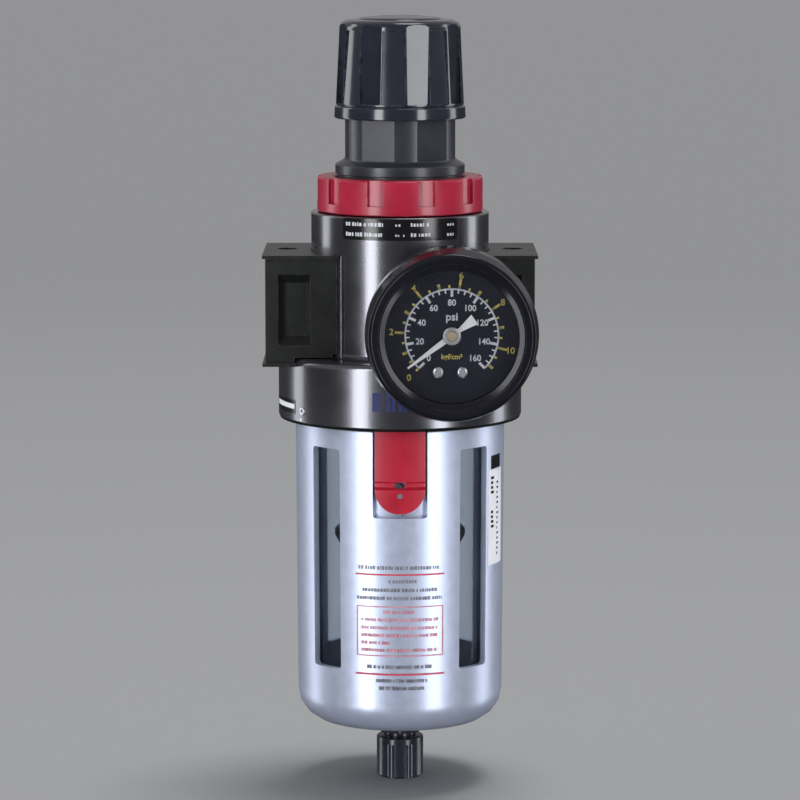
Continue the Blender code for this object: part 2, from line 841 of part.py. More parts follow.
def movement(axis):
    plate_low, plate_high = (-8, -13.5), (8, 6)
    rear = box("movement_rear_plate", (*plate_low, 45.3), (*plate_high, 45.9), BRASS, parent=axis)
    front = box("movement_front_plate", (*plate_low, 48.9), (*plate_high, 49.6), BRASS, parent=axis)
    cut(rear, rod("rear_plate_hole", 1.1, 44, 47, parent=axis, sides=12))
    cut(front, rod("front_plate_hole", 1.1, 48, 50, parent=axis, sides=12))
    for index, at in enumerate(((-6.5, 4.5), (6.5, 4.5))):
        rod(f"movement_pillar_{index + 1}", 1.1, 46.2, 48.6, at=at, look=BRASS, parent=axis, sides=12)
    pinion = turned(
        "pinion_shaft",
        [(0, 53.1), (0.8, 53.1), (0.8, 48.0), (1.3, 48.0), (1.3, 46.2), (0.8, 46.2), (0.8, 45.3), (0, 45.3)],
        STEEL,
        steps=SMALL_ROUND,
        parent=axis,
    )
    pinion.rotation_euler.z = math.radians(POINTER_REST)
    sector = rod("sector_gear", SECTOR_R, 46.7, 47.4, look=BRASS, parent=axis, sides=48)
    keep = box("sector_wedge", (-5.0, 0, 45), (5.0, 14, 49), parent=sector)
    arbor = rod("sector_arbor", 0.8, 46.2, 48.6, parent=sector, sides=12)
    combine(sector, [keep], "INTERSECT")
    join(sector, arbor)
    sector.location = (0, -SECTOR_PIVOT * MM, 0)
    sector.rotation_euler.z = math.radians(-SECTOR_REST)
    data = bpy.data.curves.new("bourdon_tube", "CURVE")
    data.dimensions = "3D"
    data.bevel_depth = 1.4 * MM
    data.bevel_resolution = 2
    data.use_fill_caps = True
    count = 24
    line = data.splines.new("POLY")
    line.points.add(count)
    for index, point in enumerate(line.points):
        angle = math.radians(-90 + 13 + 232 * index / count)
        point.co = (18.5 * math.cos(angle) * MM, 18.5 * math.sin(angle) * MM, 46.6 * MM, 1)
    place(data, "bourdon_tube", BRASS, axis)
    pointer = box("gauge_pointer", (-0.6, -9.0, 53.4), (0.6, 17.5, 53.9), POINTER_WHITE, parent=axis)
    pointer.rotation_euler.z = math.radians(POINTER_REST)
    turned(
        "pointer_hub",
        [(0, 55.2), (1.6, 55.2), (1.8, 54.9), (2.6, 54.9), (2.9, 54.6), (2.9, 54.2), (0, 54.2)],
        BRASS,
        steps=SMALL_ROUND,
        parent=axis,
    )


def rear_plug():
    plug = rod("rear_gauge_plug", 5.0, 23.0, 30.8, "Y", (GAUGE_X, GAUGE_Z), look=STEEL)
    cut(plug, rod("plug_socket", 2.9, 27.5, 33, "Y", (GAUGE_X, GAUGE_Z), sides=6))


body()
port_block("inlet", -1)
port_block("outlet", 1)
bonnet_and_ring()
diaphragm_and_valve()
adjuster()
filter_set()
bowl_set()
latch()
drain()
gauge()
rear_plug()
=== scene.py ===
"""Filter-regulator for compressed air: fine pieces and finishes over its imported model.

Metres, +Z up. The front, with the gauge and the bowl latch, faces -Y. Sizes in the tables are millimetres.
"""

import json
import math
import random

import bmesh
import bpy
from mathutils import Matrix, Vector

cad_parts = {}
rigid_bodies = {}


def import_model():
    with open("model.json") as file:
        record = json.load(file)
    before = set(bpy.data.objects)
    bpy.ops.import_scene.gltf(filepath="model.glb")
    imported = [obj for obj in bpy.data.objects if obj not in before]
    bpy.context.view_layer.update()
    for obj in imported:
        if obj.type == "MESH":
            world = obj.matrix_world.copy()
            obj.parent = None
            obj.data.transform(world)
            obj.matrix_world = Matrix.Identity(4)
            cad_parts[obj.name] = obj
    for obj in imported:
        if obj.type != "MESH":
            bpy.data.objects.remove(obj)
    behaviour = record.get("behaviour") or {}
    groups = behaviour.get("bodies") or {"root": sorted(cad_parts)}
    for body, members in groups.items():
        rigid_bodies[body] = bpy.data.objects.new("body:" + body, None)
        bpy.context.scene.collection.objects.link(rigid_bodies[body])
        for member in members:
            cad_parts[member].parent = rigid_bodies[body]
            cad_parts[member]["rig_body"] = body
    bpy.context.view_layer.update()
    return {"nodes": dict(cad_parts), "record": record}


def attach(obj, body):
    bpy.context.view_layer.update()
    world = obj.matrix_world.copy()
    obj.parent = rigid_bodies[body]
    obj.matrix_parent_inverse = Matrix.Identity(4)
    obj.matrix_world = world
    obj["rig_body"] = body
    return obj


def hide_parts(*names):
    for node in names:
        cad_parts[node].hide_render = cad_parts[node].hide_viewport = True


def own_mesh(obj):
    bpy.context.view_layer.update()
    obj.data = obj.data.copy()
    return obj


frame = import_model()
SLOTS = {row["node"]: row["material_slot"] for row in frame["record"]["subparts"]}

MM = 0.001
FINE = 128  # steps of a large turned piece
SMALL = 48  # steps of a small one
BODY_R = 29.4
COLLAR_R = 40.4
GUARD_R = 34.5
GAUGE_X = 16.5
GAUGE_Z = -4.3
LIE_FORWARD = Matrix.Rotation(math.radians(90), 4, "X")  # takes +Z to the front
TO_GAUGE = Matrix.Translation((GAUGE_X * MM, 0, GAUGE_Z * MM)) @ LIE_FORWARD
DIAL_FRONT = 52.0
NEEDLE_BACK = 53.4
NEEDLE_FRONT = 53.75
POINTER_REST = 126.5  # degrees anticlockwise from straight up
SCALE_START = 135.0
SCALE_SWEEP = 270.0


# Shapes


def lathe(points, steps=FINE, closed=True):
    """A turned shell about Z from (radius, height) points, each with an optional corner radius."""
    bm = bmesh.new()
    verts = []
    corners = []
    for radius, height, *corner in points:
        vert = bm.verts.new((radius * MM, 0, height * MM))
        verts.append(vert)
        if corner:
            corners.append((vert, corner[0] * MM))
    for first, second in zip(verts, verts[1:]):
        bm.edges.new((first, second))
    if closed:
        bm.edges.new((verts[-1], verts[0]))
    for vert, offset in corners:
        bmesh.ops.bevel(
            bm,
            geom=[vert],
            offset=offset,
            offset_type="OFFSET",
            segments=4,
            profile=0.5,
            affect="VERTICES",
            material=-1,
        )
    bmesh.ops.spin(
        bm,
        geom=[*bm.verts, *bm.edges],
        cent=(0, 0, 0),
        axis=(0, 0, 1),
        angle=math.tau,
        steps=steps,
        use_merge=True,
    )
    bmesh.ops.remove_doubles(bm, verts=bm.verts, dist=1e-6)
    bmesh.ops.recalc_face_normals(bm, faces=bm.faces)
    return bm


def block(bm, low, high, turn=0.0, corner=0.0, along="Y", flare=1.0):
    """Adds a box between two corners, turned about Z, with the edges that run along one axis rounded."""
    low, high = Vector(low) * MM, Vector(high) * MM
    size = Matrix.Diagonal((*(high - low), 1.0))
    made = bmesh.ops.create_cube(bm, size=1.0, matrix=Matrix.Translation((low + high) / 2) @ size)
    verts = made["verts"]
    if flare != 1.0:
        outer = [v for v in verts if v.co.y < (low.y + high.y) / 2]
        bmesh.ops.scale(bm, vec=(flare, 1.0, 1.0), space=Matrix.Identity(4), verts=outer)
    if corner:
        axis = "XYZ".index(along)
        edges = {e for v in verts for e in v.link_edges}
        picked = [e for e in edges if abs((e.verts[0].co - e.verts[1].co)[axis]) > 1e-6]
        picked = [e for e in picked if is_along(e, axis)]
        verts = round_edges(bm, picked, corner, 4, verts)
    if turn:
        turn_about_z(bm, turn, verts)
    return verts


def is_along(edge, axis):
    run = edge.verts[0].co - edge.verts[1].co
    return abs(run[axis]) > 0.9 * run.length


def round_edges(bm, edges, width, segments=3, kept=()):
    """Bevels the edges and returns the vertices of the shape they belong to."""
    made = bmesh.ops.bevel(
        bm,
        geom=edges,
        offset=width * MM,
        offset_type="OFFSET",
        segments=segments,
        profile=0.5,
        affect="EDGES",
        material=-1,
        clamp_overlap=True,
    )
    return list({v for v in kept if v.is_valid} | set(made["verts"]))


def bar(bm, radius, low, high, axis="Z", at=(0, 0), sides=32):
    """Adds a cylinder or prism along an axis, at two coordinates across it."""
    if axis == "X":
        turn, offset = Matrix.Rotation(math.radians(90), 4, "Y"), Vector((0, at[0], at[1]))
    elif axis == "Y":
        turn, offset = Matrix.Rotation(math.radians(-90), 4, "X"), Vector((at[0], 0, at[1]))
    else:
        turn, offset = Matrix.Identity(4), Vector((at[0], at[1], 0))
    lift = Matrix.Translation((0, 0, (low + high) / 2 * MM))
    made = bmesh.ops.create_cone(
        bm,
        cap_ends=True,
        segments=sides,
        radius1=radius * MM,
        radius2=radius * MM,
        depth=(high - low) * MM,
        matrix=Matrix.Translation(offset * MM) @ turn @ lift,
    )
    return made["verts"]


def around(bm, count):
    """Repeats everything so far in equal turns about Z."""
    bmesh.ops.spin(
        bm,
        geom=[*bm.verts, *bm.edges, *bm.faces],
        cent=(0, 0, 0),
        axis=(0, 0, 1),
        angle=math.tau * (count - 1) / count,
        steps=count - 1,
        use_duplicate=True,
    )


def turn_about_z(bm, degrees, verts):
    spin = Matrix.Rotation(math.radians(degrees), 3, "Z")
    bmesh.ops.rotate(bm, cent=(0, 0, 0), matrix=spin, verts=verts)


def onto_gauge(bm):
    """Takes a shape that stands on Z to the gauge's own axis, which points forwards."""
    bmesh.ops.transform(bm, matrix=TO_GAUGE, verts=bm.verts)
    return bm


def onto_port(bm, sign):
    """Lays a shape that stands on Z along one of the ports."""
    turn = Matrix.Rotation(math.radians(90 * sign), 3, "Y")
    bmesh.ops.rotate(bm, cent=(0, 0, 0), matrix=turn, verts=bm.verts)
    return bm


def wrap(bm, radius):
    """Bends a flat shape that faces -Y round a cylinder about Z: its x runs round, its y stands off."""
    for vert in bm.verts:
        angle = vert.co.x / (radius * MM)
        reach = radius * MM - vert.co.y
        vert.co.x = reach * math.sin(angle)
        vert.co.y = -reach * math.cos(angle)
    return bm


def strip(bm, x0, x1, z0, z1, height, depth=0.15):
    """Adds a flat mark for wrap(): height stands proud and depth sinks in; long ones are cut to bend."""
    low, high = Vector((x0, -height, z0)) * MM, Vector((x1, depth, z1)) * MM
    size = Matrix.Diagonal((*(high - low), 1.0))
    made = bmesh.ops.create_cube(bm, size=1.0, matrix=Matrix.Translation((low + high) / 2) @ size)
    cuts = int(abs(x1 - x0) / 1.5)
    if cuts:
        edges = {e for v in made["verts"] for e in v.link_edges}
        long = [e for e in edges if is_along(e, 0)]
        bmesh.ops.subdivide_edges(bm, edges=long, cuts=cuts, use_grid_fill=True)


def body_from(bm, name):
    """A working object in the scene, from a bmesh."""
    bmesh.ops.remove_doubles(bm, verts=bm.verts, dist=1e-7)
    bmesh.ops.recalc_face_normals(bm, faces=bm.faces)
    mesh = bpy.data.meshes.new(name)
    bm.to_mesh(mesh)
    bm.free()
    made = bpy.data.objects.new(name, mesh)
    bpy.context.scene.collection.objects.link(made)
    return made


def settle(piece):
    """Applies a piece's modifiers to its mesh."""
    graph = bpy.context.evaluated_depsgraph_get()
    mesh = bpy.data.meshes.new_from_object(piece.evaluated_get(graph))
    piece.modifiers.clear()
    old = piece.data
    piece.data = mesh
    bpy.data.meshes.remove(old)


def carve(piece, bm, operation="DIFFERENCE"):
    tool = body_from(bm, piece.name + "_tool")
    step = piece.modifiers.new("carve", "BOOLEAN")
    step.operation = operation
    step.solver = "MANIFOLD"
    step.object = tool
    settle(piece)
    bpy.data.objects.remove(tool)


def soften(piece, width, angle=35.0, segments=2):
    """Rounds every edge sharper than the angle."""
    step = piece.modifiers.new("soften", "BEVEL")
    step.width = width * MM
    step.segments = segments
    step.limit_method = "ANGLE"
    step.angle_limit = math.radians(angle)
    step.miter_outer = "MITER_ARC"
    settle(piece)


def refined(node, name, width, angle=30.0):
    """A copy of a CAD node with its flat faces joined and its edges rounded."""
    bm = bmesh.new()
    bm.from_mesh(frame["nodes"][node].data)
    bmesh.ops.remove_doubles(bm, verts=bm.verts, dist=1e-6)
    bmesh.ops.dissolve_limit(bm, angle_limit=math.radians(0.5), verts=bm.verts, edges=bm.edges)
    round_edges(bm, [e for e in bm.edges if e.calc_face_angle(0.0) > math.radians(angle)], width, 2)
    return body_from(bm, name)


def shade(piece, look, sharp):
    """Smooth shading up to an angle, led by the larger faces, and the piece's finish."""
    piece.data.shade_smooth()
    piece.data.set_sharp_from_angle(angle=math.radians(sharp))
    step = piece.modifiers.new("even", "WEIGHTED_NORMAL")
    step.keep_sharp = True
    settle(piece)
    piece.data.materials.clear()
    piece.data.materials.append(look)


def stand_for(piece, look, *nodes, sharp=32.0):
    """Finishes a piece that takes the place of CAD nodes and moves as they do."""
    shade(piece, look, sharp)
    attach(piece, frame["nodes"][nodes[0]]["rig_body"])
    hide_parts(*nodes)


def fix_to(piece, look, body, sharp=32.0):
    """Finishes a piece of trim that the CAD model doesn't have."""
    shade(piece, look, sharp)
    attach(piece, body)


# Finishes


def shader_group(name, inputs, outputs):
    made = bpy.data.node_groups.new(name, "ShaderNodeTree")
    for title, kind, value in inputs:
        socket = made.interface.new_socket(title, in_out="INPUT", socket_type=kind)
        socket.default_value = value
    for title in outputs:
        made.interface.new_socket(title, in_out="OUTPUT", socket_type="NodeSocketFloat")
    return made, made.nodes.new("NodeGroupInput"), made.nodes.new("NodeGroupOutput")


def math_node(tree, operation, first, second, clamp=False):
    node = tree.nodes.new("ShaderNodeMath")
    node.operation = operation
    node.use_clamp = clamp
    for socket, value in zip(node.inputs, (first, second)):
        if isinstance(value, (int, float)):
            socket.default_value = value
        else:
            tree.links.new(value, socket)
    return node.outputs[0]


def noise_node(tree, vector, scale, detail=2.0, roughness=0.5):
    node = tree.nodes.new("ShaderNodeTexNoise")
    node.inputs["Detail"].default_value = detail
    node.inputs["Roughness"].default_value = roughness
    tree.links.new(vector, node.inputs["Vector"])
    if isinstance(scale, (int, float)):
        node.inputs["Scale"].default_value = scale
    else:
        tree.links.new(scale, node.inputs["Scale"])
    return node.outputs["Fac"]


def range_node(tree, value, low, high):
    node = tree.nodes.new("ShaderNodeMapRange")
    node.interpolation_type = "SMOOTHSTEP"
    node.inputs["From Min"].default_value = low
    node.inputs["From Max"].default_value = high
    tree.links.new(value, node.inputs["Value"])
    return node.outputs["Result"]


def make_surface_grain():
    """Fine height for a bump, and a slow tone that drifts over the surface."""
    made, entry, out = shader_group(
        "surface_grain",
        [("Vector", "NodeSocketVector", (0, 0, 0)), ("Scale", "NodeSocketFloat", 2000.0)],
        ["Height", "Tone"],
    )
    fine = noise_node(made, entry.outputs["Vector"], entry.outputs["Scale"], 3.0)
    broad = math_node(made, "MULTIPLY", entry.outputs["Scale"], 0.06)
    slow = noise_node(made, entry.outputs["Vector"], broad, 4.0, 0.6)
    made.links.new(fine, out.inputs["Height"])
    made.links.new(range_node(made, slow, 0.3, 0.7), out.inputs["Tone"])
    return made


def make_edge_wear():
    """A mask along raised edges, broken up as rubbing leaves it."""
    made, entry, out = shader_group(
        "edge_wear",
        [
            ("Vector", "NodeSocketVector", (0, 0, 0)),
            ("Scale", "NodeSocketFloat", 400.0),
            ("Amount", "NodeSocketFloat", 0.5),
        ],
        ["Mask"],
    )
    geometry = made.nodes.new("ShaderNodeNewGeometry")
    rounded = made.nodes.new("ShaderNodeBevel")
    rounded.samples = 4
    rounded.inputs["Radius"].default_value = 0.45 * MM
    agree = made.nodes.new("ShaderNodeVectorMath")
    agree.operation = "DOT_PRODUCT"
    made.links.new(geometry.outputs["Normal"], agree.inputs[0])
    made.links.new(rounded.outputs["Normal"], agree.inputs[1])
    bend = math_node(made, "SUBTRACT", 1.0, agree.outputs["Value"])
    edge = range_node(made, bend, 0.004, 0.06)
    patches = noise_node(made, entry.outputs["Vector"], entry.outputs["Scale"], 4.0, 0.65)
    rub = range_node(made, patches, 0.4, 0.62)
    mask = math_node(made, "MULTIPLY", edge, rub)
    made.links.new(math_node(made, "MULTIPLY", mask, entry.outputs["Amount"], True), out.inputs["Mask"])
    return made


def make_settled_dust():
    """A mask of dust on what faces up and of handling marks elsewhere."""
    made, entry, out = shader_group(
        "settled_dust",
        [("Vector", "NodeSocketVector", (0, 0, 0)), ("Amount", "NodeSocketFloat", 0.1)],
        ["Mask"],
    )
    geometry = made.nodes.new("ShaderNodeNewGeometry")
    apart = made.nodes.new("ShaderNodeSeparateXYZ")
    made.links.new(geometry.outputs["Normal"], apart.inputs[0])
    top = range_node(made, apart.outputs["Z"], 0.2, 1.0)
    cloud = range_node(made, noise_node(made, entry.outputs["Vector"], 90.0, 6.0, 0.7), 0.35, 0.75)
    share = math_node(made, "ADD", math_node(made, "MULTIPLY", top, 0.8), 0.25)
    mask = math_node(made, "MULTIPLY", share, cloud)
    made.links.new(math_node(made, "MULTIPLY", mask, entry.outputs["Amount"], True), out.inputs["Mask"])
    return made


GRAIN = make_surface_grain()
WEAR = make_edge_wear()
DUST = make_settled_dust()
DUST_COLOUR = (0.42, 0.41, 0.4)


def place_group(tree, group, vector, **values):
    node = tree.nodes.new("ShaderNodeGroup")
    node.node_tree = group
    tree.links.new(vector, node.inputs["Vector"])
    for title, value in values.items():
        node.inputs[title].default_value = value
    return node


def mix_colour(tree, mask, first, second):
    node = tree.nodes.new("ShaderNodeMix")
    node.data_type = "RGBA"
    tree.links.new(mask, node.inputs["Factor"])
    for title, value in (("A", first), ("B", second)):
        socket = [s for s in node.inputs if s.name == title and s.type == "RGBA"][0]
        if isinstance(value, tuple):
            socket.default_value = (*value, 1.0)
        else:
            tree.links.new(value, socket)
    return [s for s in node.outputs if s.type == "RGBA"][0]


def finish(
    name,
    colour,
    drift,
    roughness,
    spread=0.04,
    metallic=0.0,
    grain=(2000.0, 0.02),
    wear=None,
    dust=0.006,
    **extra,
):
    """A finish whose colour drifts to a second one, with its grain, worn edges and dust."""
    made = bpy.data.materials.new(name)
    made.use_nodes = True
    tree = made.node_tree
    shader = tree.nodes["Principled BSDF"]
    vector = tree.nodes.new("ShaderNodeTexCoord").outputs["Object"]
    surface = place_group(tree, GRAIN, vector, Scale=grain[0])
    tint = mix_colour(tree, surface.outputs["Tone"], colour, drift)
    rough = math_node(tree, "MULTIPLY", surface.outputs["Tone"], spread)
    rough = math_node(tree, "ADD", rough, roughness - spread / 2)
    if wear:
        worn = place_group(tree, WEAR, vector, Amount=wear[0])
        tint = mix_colour(tree, worn.outputs["Mask"], tint, wear[1])
    if dust:
        settled = place_group(tree, DUST, vector, Amount=dust)
        tint = mix_colour(tree, settled.outputs["Mask"], tint, DUST_COLOUR)
        dull = math_node(tree, "MULTIPLY", settled.outputs["Mask"], 0.3)
        rough = math_node(tree, "ADD", rough, dull, True)
    bump = tree.nodes.new("ShaderNodeBump")
    bump.inputs["Distance"].default_value = grain[1] * MM
    bump.inputs["Strength"].default_value = 1.0
    tree.links.new(surface.outputs["Height"], bump.inputs["Height"])
    tree.links.new(tint, shader.inputs["Base Color"])
    tree.links.new(rough, shader.inputs["Roughness"])
    tree.links.new(bump.outputs["Normal"], shader.inputs["Normal"])
    shader.inputs["Metallic"].default_value = metallic
    for title, value in extra.items():
        shader.inputs[title.replace("_", " ")].default_value = value
    return made


GUNMETAL = finish(
    "gunmetal_lacquer",
    (0.135, 0.135, 0.15),
    (0.155, 0.155, 0.172),
    0.23,
    metallic=0.9,
    grain=(900.0, 0.005),
    wear=(0.5, (0.42, 0.42, 0.44)),
    Coat_Weight=0.3,
    Coat_Roughness=0.06,
)
BLOCK_BLACK = finish(
    "satin_black_moulding",
    (0.009, 0.0095, 0.009),
    (0.012, 0.0125, 0.012),
    0.36,
    grain=(3200.0, 0.014),
    wear=(0.6, (0.07, 0.07, 0.07)),
    Specular_IOR_Level=0.4,
)
KNOB_GLOSS = finish(
    "knob_gloss",
    (0.01, 0.011, 0.019),
    (0.013, 0.014, 0.024),
    0.17,
    grain=(1400.0, 0.004),
    wear=(0.5, (0.12, 0.13, 0.17)),
    dust=0.004,
    Coat_Weight=0.4,
    Coat_Roughness=0.07,
)
BONNET_SATIN = finish(
    "bonnet_satin",
    (0.021, 0.023, 0.031),
    (0.025, 0.027, 0.036),
    0.3,
    grain=(2600.0, 0.01),
    wear=(0.4, (0.12, 0.12, 0.14)),
)
CRIMSON = finish(
    "crimson_gloss",
    (0.3, 0.006, 0.028),
    (0.36, 0.009, 0.036),
    0.3,
    grain=(1300.0, 0.012),
    wear=(0.5, (0.72, 0.2, 0.27)),
    Coat_Weight=0.15,
    Coat_Roughness=0.12,
)
LATCH_RED = finish(
    "latch_red",
    (0.31, 0.006, 0.02),
    (0.38, 0.009, 0.028),
    0.33,
    grain=(1800.0, 0.01),
    wear=(0.35, (0.75, 0.22, 0.26)),
)
SILVER = finish(
    "silver_lacquer",
    (0.47, 0.52, 0.66),
    (0.5, 0.55, 0.69),
    0.36,
    metallic=0.58,
    grain=(5200.0, 0.008),
    wear=(0.35, (0.74, 0.76, 0.82)),
)
GAUGE_BLACK = finish(
    "gauge_black_gloss",
    (0.006, 0.006, 0.009),
    (0.008, 0.008, 0.012),
    0.15,
    grain=(900.0, 0.004),
    wear=(0.4, (0.08, 0.08, 0.1)),
    dust=0.003,
    Specular_IOR_Level=0.22,
)
DRAIN_BLACK = finish(
    "drain_blue_black",
    (0.013, 0.014, 0.024),
    (0.018, 0.02, 0.032),
    0.24,
    grain=(2400.0, 0.01),
    wear=(0.5, (0.12, 0.13, 0.18)),
)
INNER_BLACK = finish("inner_black_nylon", (0.012, 0.013, 0.02), (0.016, 0.018, 0.026), 0.5)
STEEL = finish(
    "zinc_plated_steel",
    (0.6, 0.61, 0.64),
    (0.68, 0.69, 0.7),
    0.28,
    metallic=1.0,
    grain=(2600.0, 0.01),
    wear=(0.3, (0.85, 0.85, 0.87)),
)
BRASS = finish(
    "turned_brass",
    (0.56, 0.38, 0.15),
    (0.64, 0.46, 0.2),
    0.3,
    metallic=1.0,
    grain=(2200.0, 0.012),
    wear=(0.4, (0.85, 0.68, 0.38)),
)
HUB_TAN = finish("hub_brass", (0.5, 0.4, 0.24), (0.58, 0.47, 0.3), 0.42, metallic=0.5)
RUBBER = finish("nitrile_rubber", (0.016, 0.016, 0.017), (0.024, 0.024, 0.025), 0.62)
# Near-black finish for the ring under the collar: painted shade standing for the shadow in the gap between
# collar and guard.
COLLAR_GAP_PAINTED_SHADE = finish(
    "painted_collar_gap_shade", (0.002, 0.002, 0.002), (0.004, 0.004, 0.004), 0.7, dust=0.0, Specular_IOR_Level=0.1
)
FILTER = finish(
    "sintered_resin", (0.76, 0.76, 0.72), (0.86, 0.86, 0.83), 0.85, grain=(3800.0, 0.12), dust=0.2
)
DIAL = finish(
    "dial_enamel",
    (0.004, 0.006, 0.018),
    (0.006, 0.008, 0.023),
    0.5,
    grain=(3600.0, 0.004),
    dust=0.003,
    Specular_IOR_Level=0.15,
)
POINTER_WHITE = finish("pointer_enamel", (0.86, 0.86, 0.86), (0.92, 0.92, 0.92), 0.4)
FINE_INK = (5000.0, 0.01)
# Also the painted highlight in the collar's notch.
PRINT_AND_HIGHLIGHT_WHITE = finish("white_print_and_painted_highlight", (0.62, 0.63, 0.66), (0.78, 0.78, 0.8), 0.5, grain=FINE_INK)
SCALE_WHITE = finish("scale_white", (0.5, 0.51, 0.53), (0.62, 0.63, 0.66), 0.5, grain=FINE_INK)
SCALE_YELLOW = finish("scale_yellow", (0.6, 0.5, 0.08), (0.76, 0.64, 0.14), 0.5, grain=FINE_INK)
PRINT_GREY = finish("grey_print", (0.1, 0.1, 0.12), (0.2, 0.2, 0.23), 0.5, grain=FINE_INK)
PRINT_RED = finish("red_print", (0.42, 0.02, 0.05), (0.5, 0.05, 0.08), 0.5, grain=FINE_INK)
PRINT_PINK = finish("faded_red_print", (0.42, 0.14, 0.19), (0.56, 0.26, 0.31), 0.5, grain=FINE_INK)
PRINT_BLUE = finish("blue_print", (0.006, 0.014, 0.09), (0.009, 0.022, 0.12), 0.6, grain=FINE_INK)
# Also the painted shade of the collar's notch.
LABEL_AND_SHADE_BLACK = finish("label_and_painted_shade_black", (0.006, 0.006, 0.007), (0.009, 0.009, 0.01), 0.16)
STICKER = finish("sticker_white", (0.7, 0.71, 0.74), (0.76, 0.77, 0.8), 0.5, grain=(3600.0, 0.01))


def clear_finish(name, colour, roughness, ior, smears, ripple):
    """Clear plastic or glass, with faint smears in its gloss."""
    made = bpy.data.materials.new(name)
    made.use_nodes = True
    tree = made.node_tree
    shader = tree.nodes["Principled BSDF"]
    vector = tree.nodes.new("ShaderNodeTexCoord").outputs["Object"]
    surface = place_group(tree, GRAIN, vector, Scale=1500.0)
    settled = place_group(tree, DUST, vector, Amount=smears)
    rough = math_node(tree, "MULTIPLY", settled.outputs["Mask"], 0.5)
    rough = math_node(tree, "ADD", rough, roughness, True)
    tree.links.new(rough, shader.inputs["Roughness"])
    bump = tree.nodes.new("ShaderNodeBump")
    bump.inputs["Distance"].default_value = ripple * MM
    tree.links.new(surface.outputs["Height"], bump.inputs["Height"])
    tree.links.new(bump.outputs["Normal"], shader.inputs["Normal"])
    shader.inputs["Base Color"].default_value = (*colour, 1.0)
    shader.inputs["Transmission Weight"].default_value = 1.0
    shader.inputs["IOR"].default_value = ior
    return made


BOWL_CLEAR = clear_finish("clear_polycarbonate", (0.8, 0.86, 0.95), 0.03, 1.5, 0.1, 0.004)
LENS = clear_finish("clear_lens", (0.97, 0.98, 1.0), 0.0, 1.45, 0.01, 0.0003)

BY_SLOT = {
    "gunmetal": GUNMETAL,
    "black_nylon": INNER_BLACK,
    "knob_plastic": KNOB_GLOSS,
    "red_plastic": CRIMSON,
    "silver_paint": SILVER,
    "clear_polycarbonate": BOWL_CLEAR,
    "steel": STEEL,
    "brass": BRASS,
    "rubber": RUBBER,
    "filter_resin": FILTER,
    "lens": LENS,
    "dial_enamel": DIAL,
    "pointer_enamel": POINTER_WHITE,
}


# Body


def casting():
    shell = body_from(
        lathe(
            [
                (24.4, 36.4, 0.3), (24.4, 31.0, 0.4), (29.4, 31.0, 0.7), (29.4, -14.5, 0.5),
                (30.6, -15.7, 0.5), (40.4, -15.7, 2.2), (40.4, -36.5, 0.4), (35.2, -36.5, 0.3),
                (35.2, -33.4), (37.4, -33.4), (37.4, -29.4), (35.2, -29.4), (35.2, -26.3),
                (31.0, -26.3), (31.0, -19.2), (26.0, -19.2), (26.0, -13.0), (13.0, -13.0),
                (13.0, -24.0), (9.6, -24.0), (9.6, -14.5), (8.0, -14.5), (8.0, 3.0), (5.8, 3.0),
                (5.0, 4.0), (5.0, 22.0), (21.5, 22.0), (21.5, 36.4, 0.4),
            ]
        ),
        "regulator_casting",
    )
    added = bmesh.new()
    for sign in (-1, 1):
        low, high = sorted((18.4 * sign, 19.5 * sign))
        block(added, (low, -23.2, -18.0), (high, -20.2, 18.0), corner=0.35, along="Z")
        block(added, (low, 20.2, -18.0), (high, 23.2, 18.0), corner=0.35, along="Z")
    bar(added, 8.0, -31.3, -21.0, "Y", (GAUGE_X, GAUGE_Z), 64)
    bar(added, 8.0, 21.0, 31.3, "Y", (GAUGE_X, GAUGE_Z), 64)
    carve(shell, added, "UNION")
    bores = bmesh.new()
    bar(bores, 9.0, -34, -13.5, "X", sides=64)
    bar(bores, 9.0, 13.5, 34, "X", sides=64)
    bar(bores, 5.3, -33, -20, "Y", (GAUGE_X, GAUGE_Z), 48)
    bar(bores, 5.3, 20, 33, "Y", (GAUGE_X, GAUGE_Z), 48)
    for index in range(4):
        block(bores, (-7.0, -37.4, -38.0), (7.0, -33.0, -32.0), turn=90 * index)
    carve(shell, bores)
    passages = bmesh.new()
    bar(passages, 5.0, -14, 0, "Z", (-19.5, 0))
    bar(passages, 3.5, 0, 24, "Z", (17.5, 0))
    bar(passages, 1.5, -20.5, 20.5, "Y", (GAUGE_X, GAUGE_Z), 24)
    carve(shell, passages)
    soften(shell, 0.3, 50.0)
    stand_for(shell, GUNMETAL, "body_casting")
    # A near-black ring just under the collar's lower edge, over the gap round the guard: painted shade for
    # the shadow there, not a part.
    gap_shadow = lathe([(36.2, -36.3), (40.0, -36.3), (40.0, -37.3, 0.2), (36.2, -37.3, 0.2)], 160)
    fix_to(body_from(gap_shadow, "collar_gap_painted_shadow"), COLLAR_GAP_PAINTED_SHADE, "body")


def port_insert(side, sign):
    """A turned insert whose bore carries thread crests, with a chamfer at its mouth."""
    inner = [(10.9, 43.7), (9.9, 42.9)]
    pitch = 1.4
    for turn in range(8):
        height = 42.6 - pitch * turn
        root = height - pitch / 2
        inner += [(9.6, height), (9.6, height - 0.3), (10.2, root), (10.2, root - 0.1)]
    inner += [(9.6, 31.0), (9.6, 30.0)]
    rows = [(12.0, 30.0), (12.0, 43.7, 0.3), *inner]
    made = body_from(onto_port(lathe(rows, 96), sign), f"{side}_threaded_insert")
    stand_for(made, BRASS, f"{side}_port_insert")


def port_blocks():
    for side, sign in (("inlet", -1), ("outlet", 1)):
        made = refined(f"{side}_port_block", f"{side}_flange_block", 0.3)
        stand_for(made, BLOCK_BLACK, f"{side}_port_block")
        port_insert(side, sign)


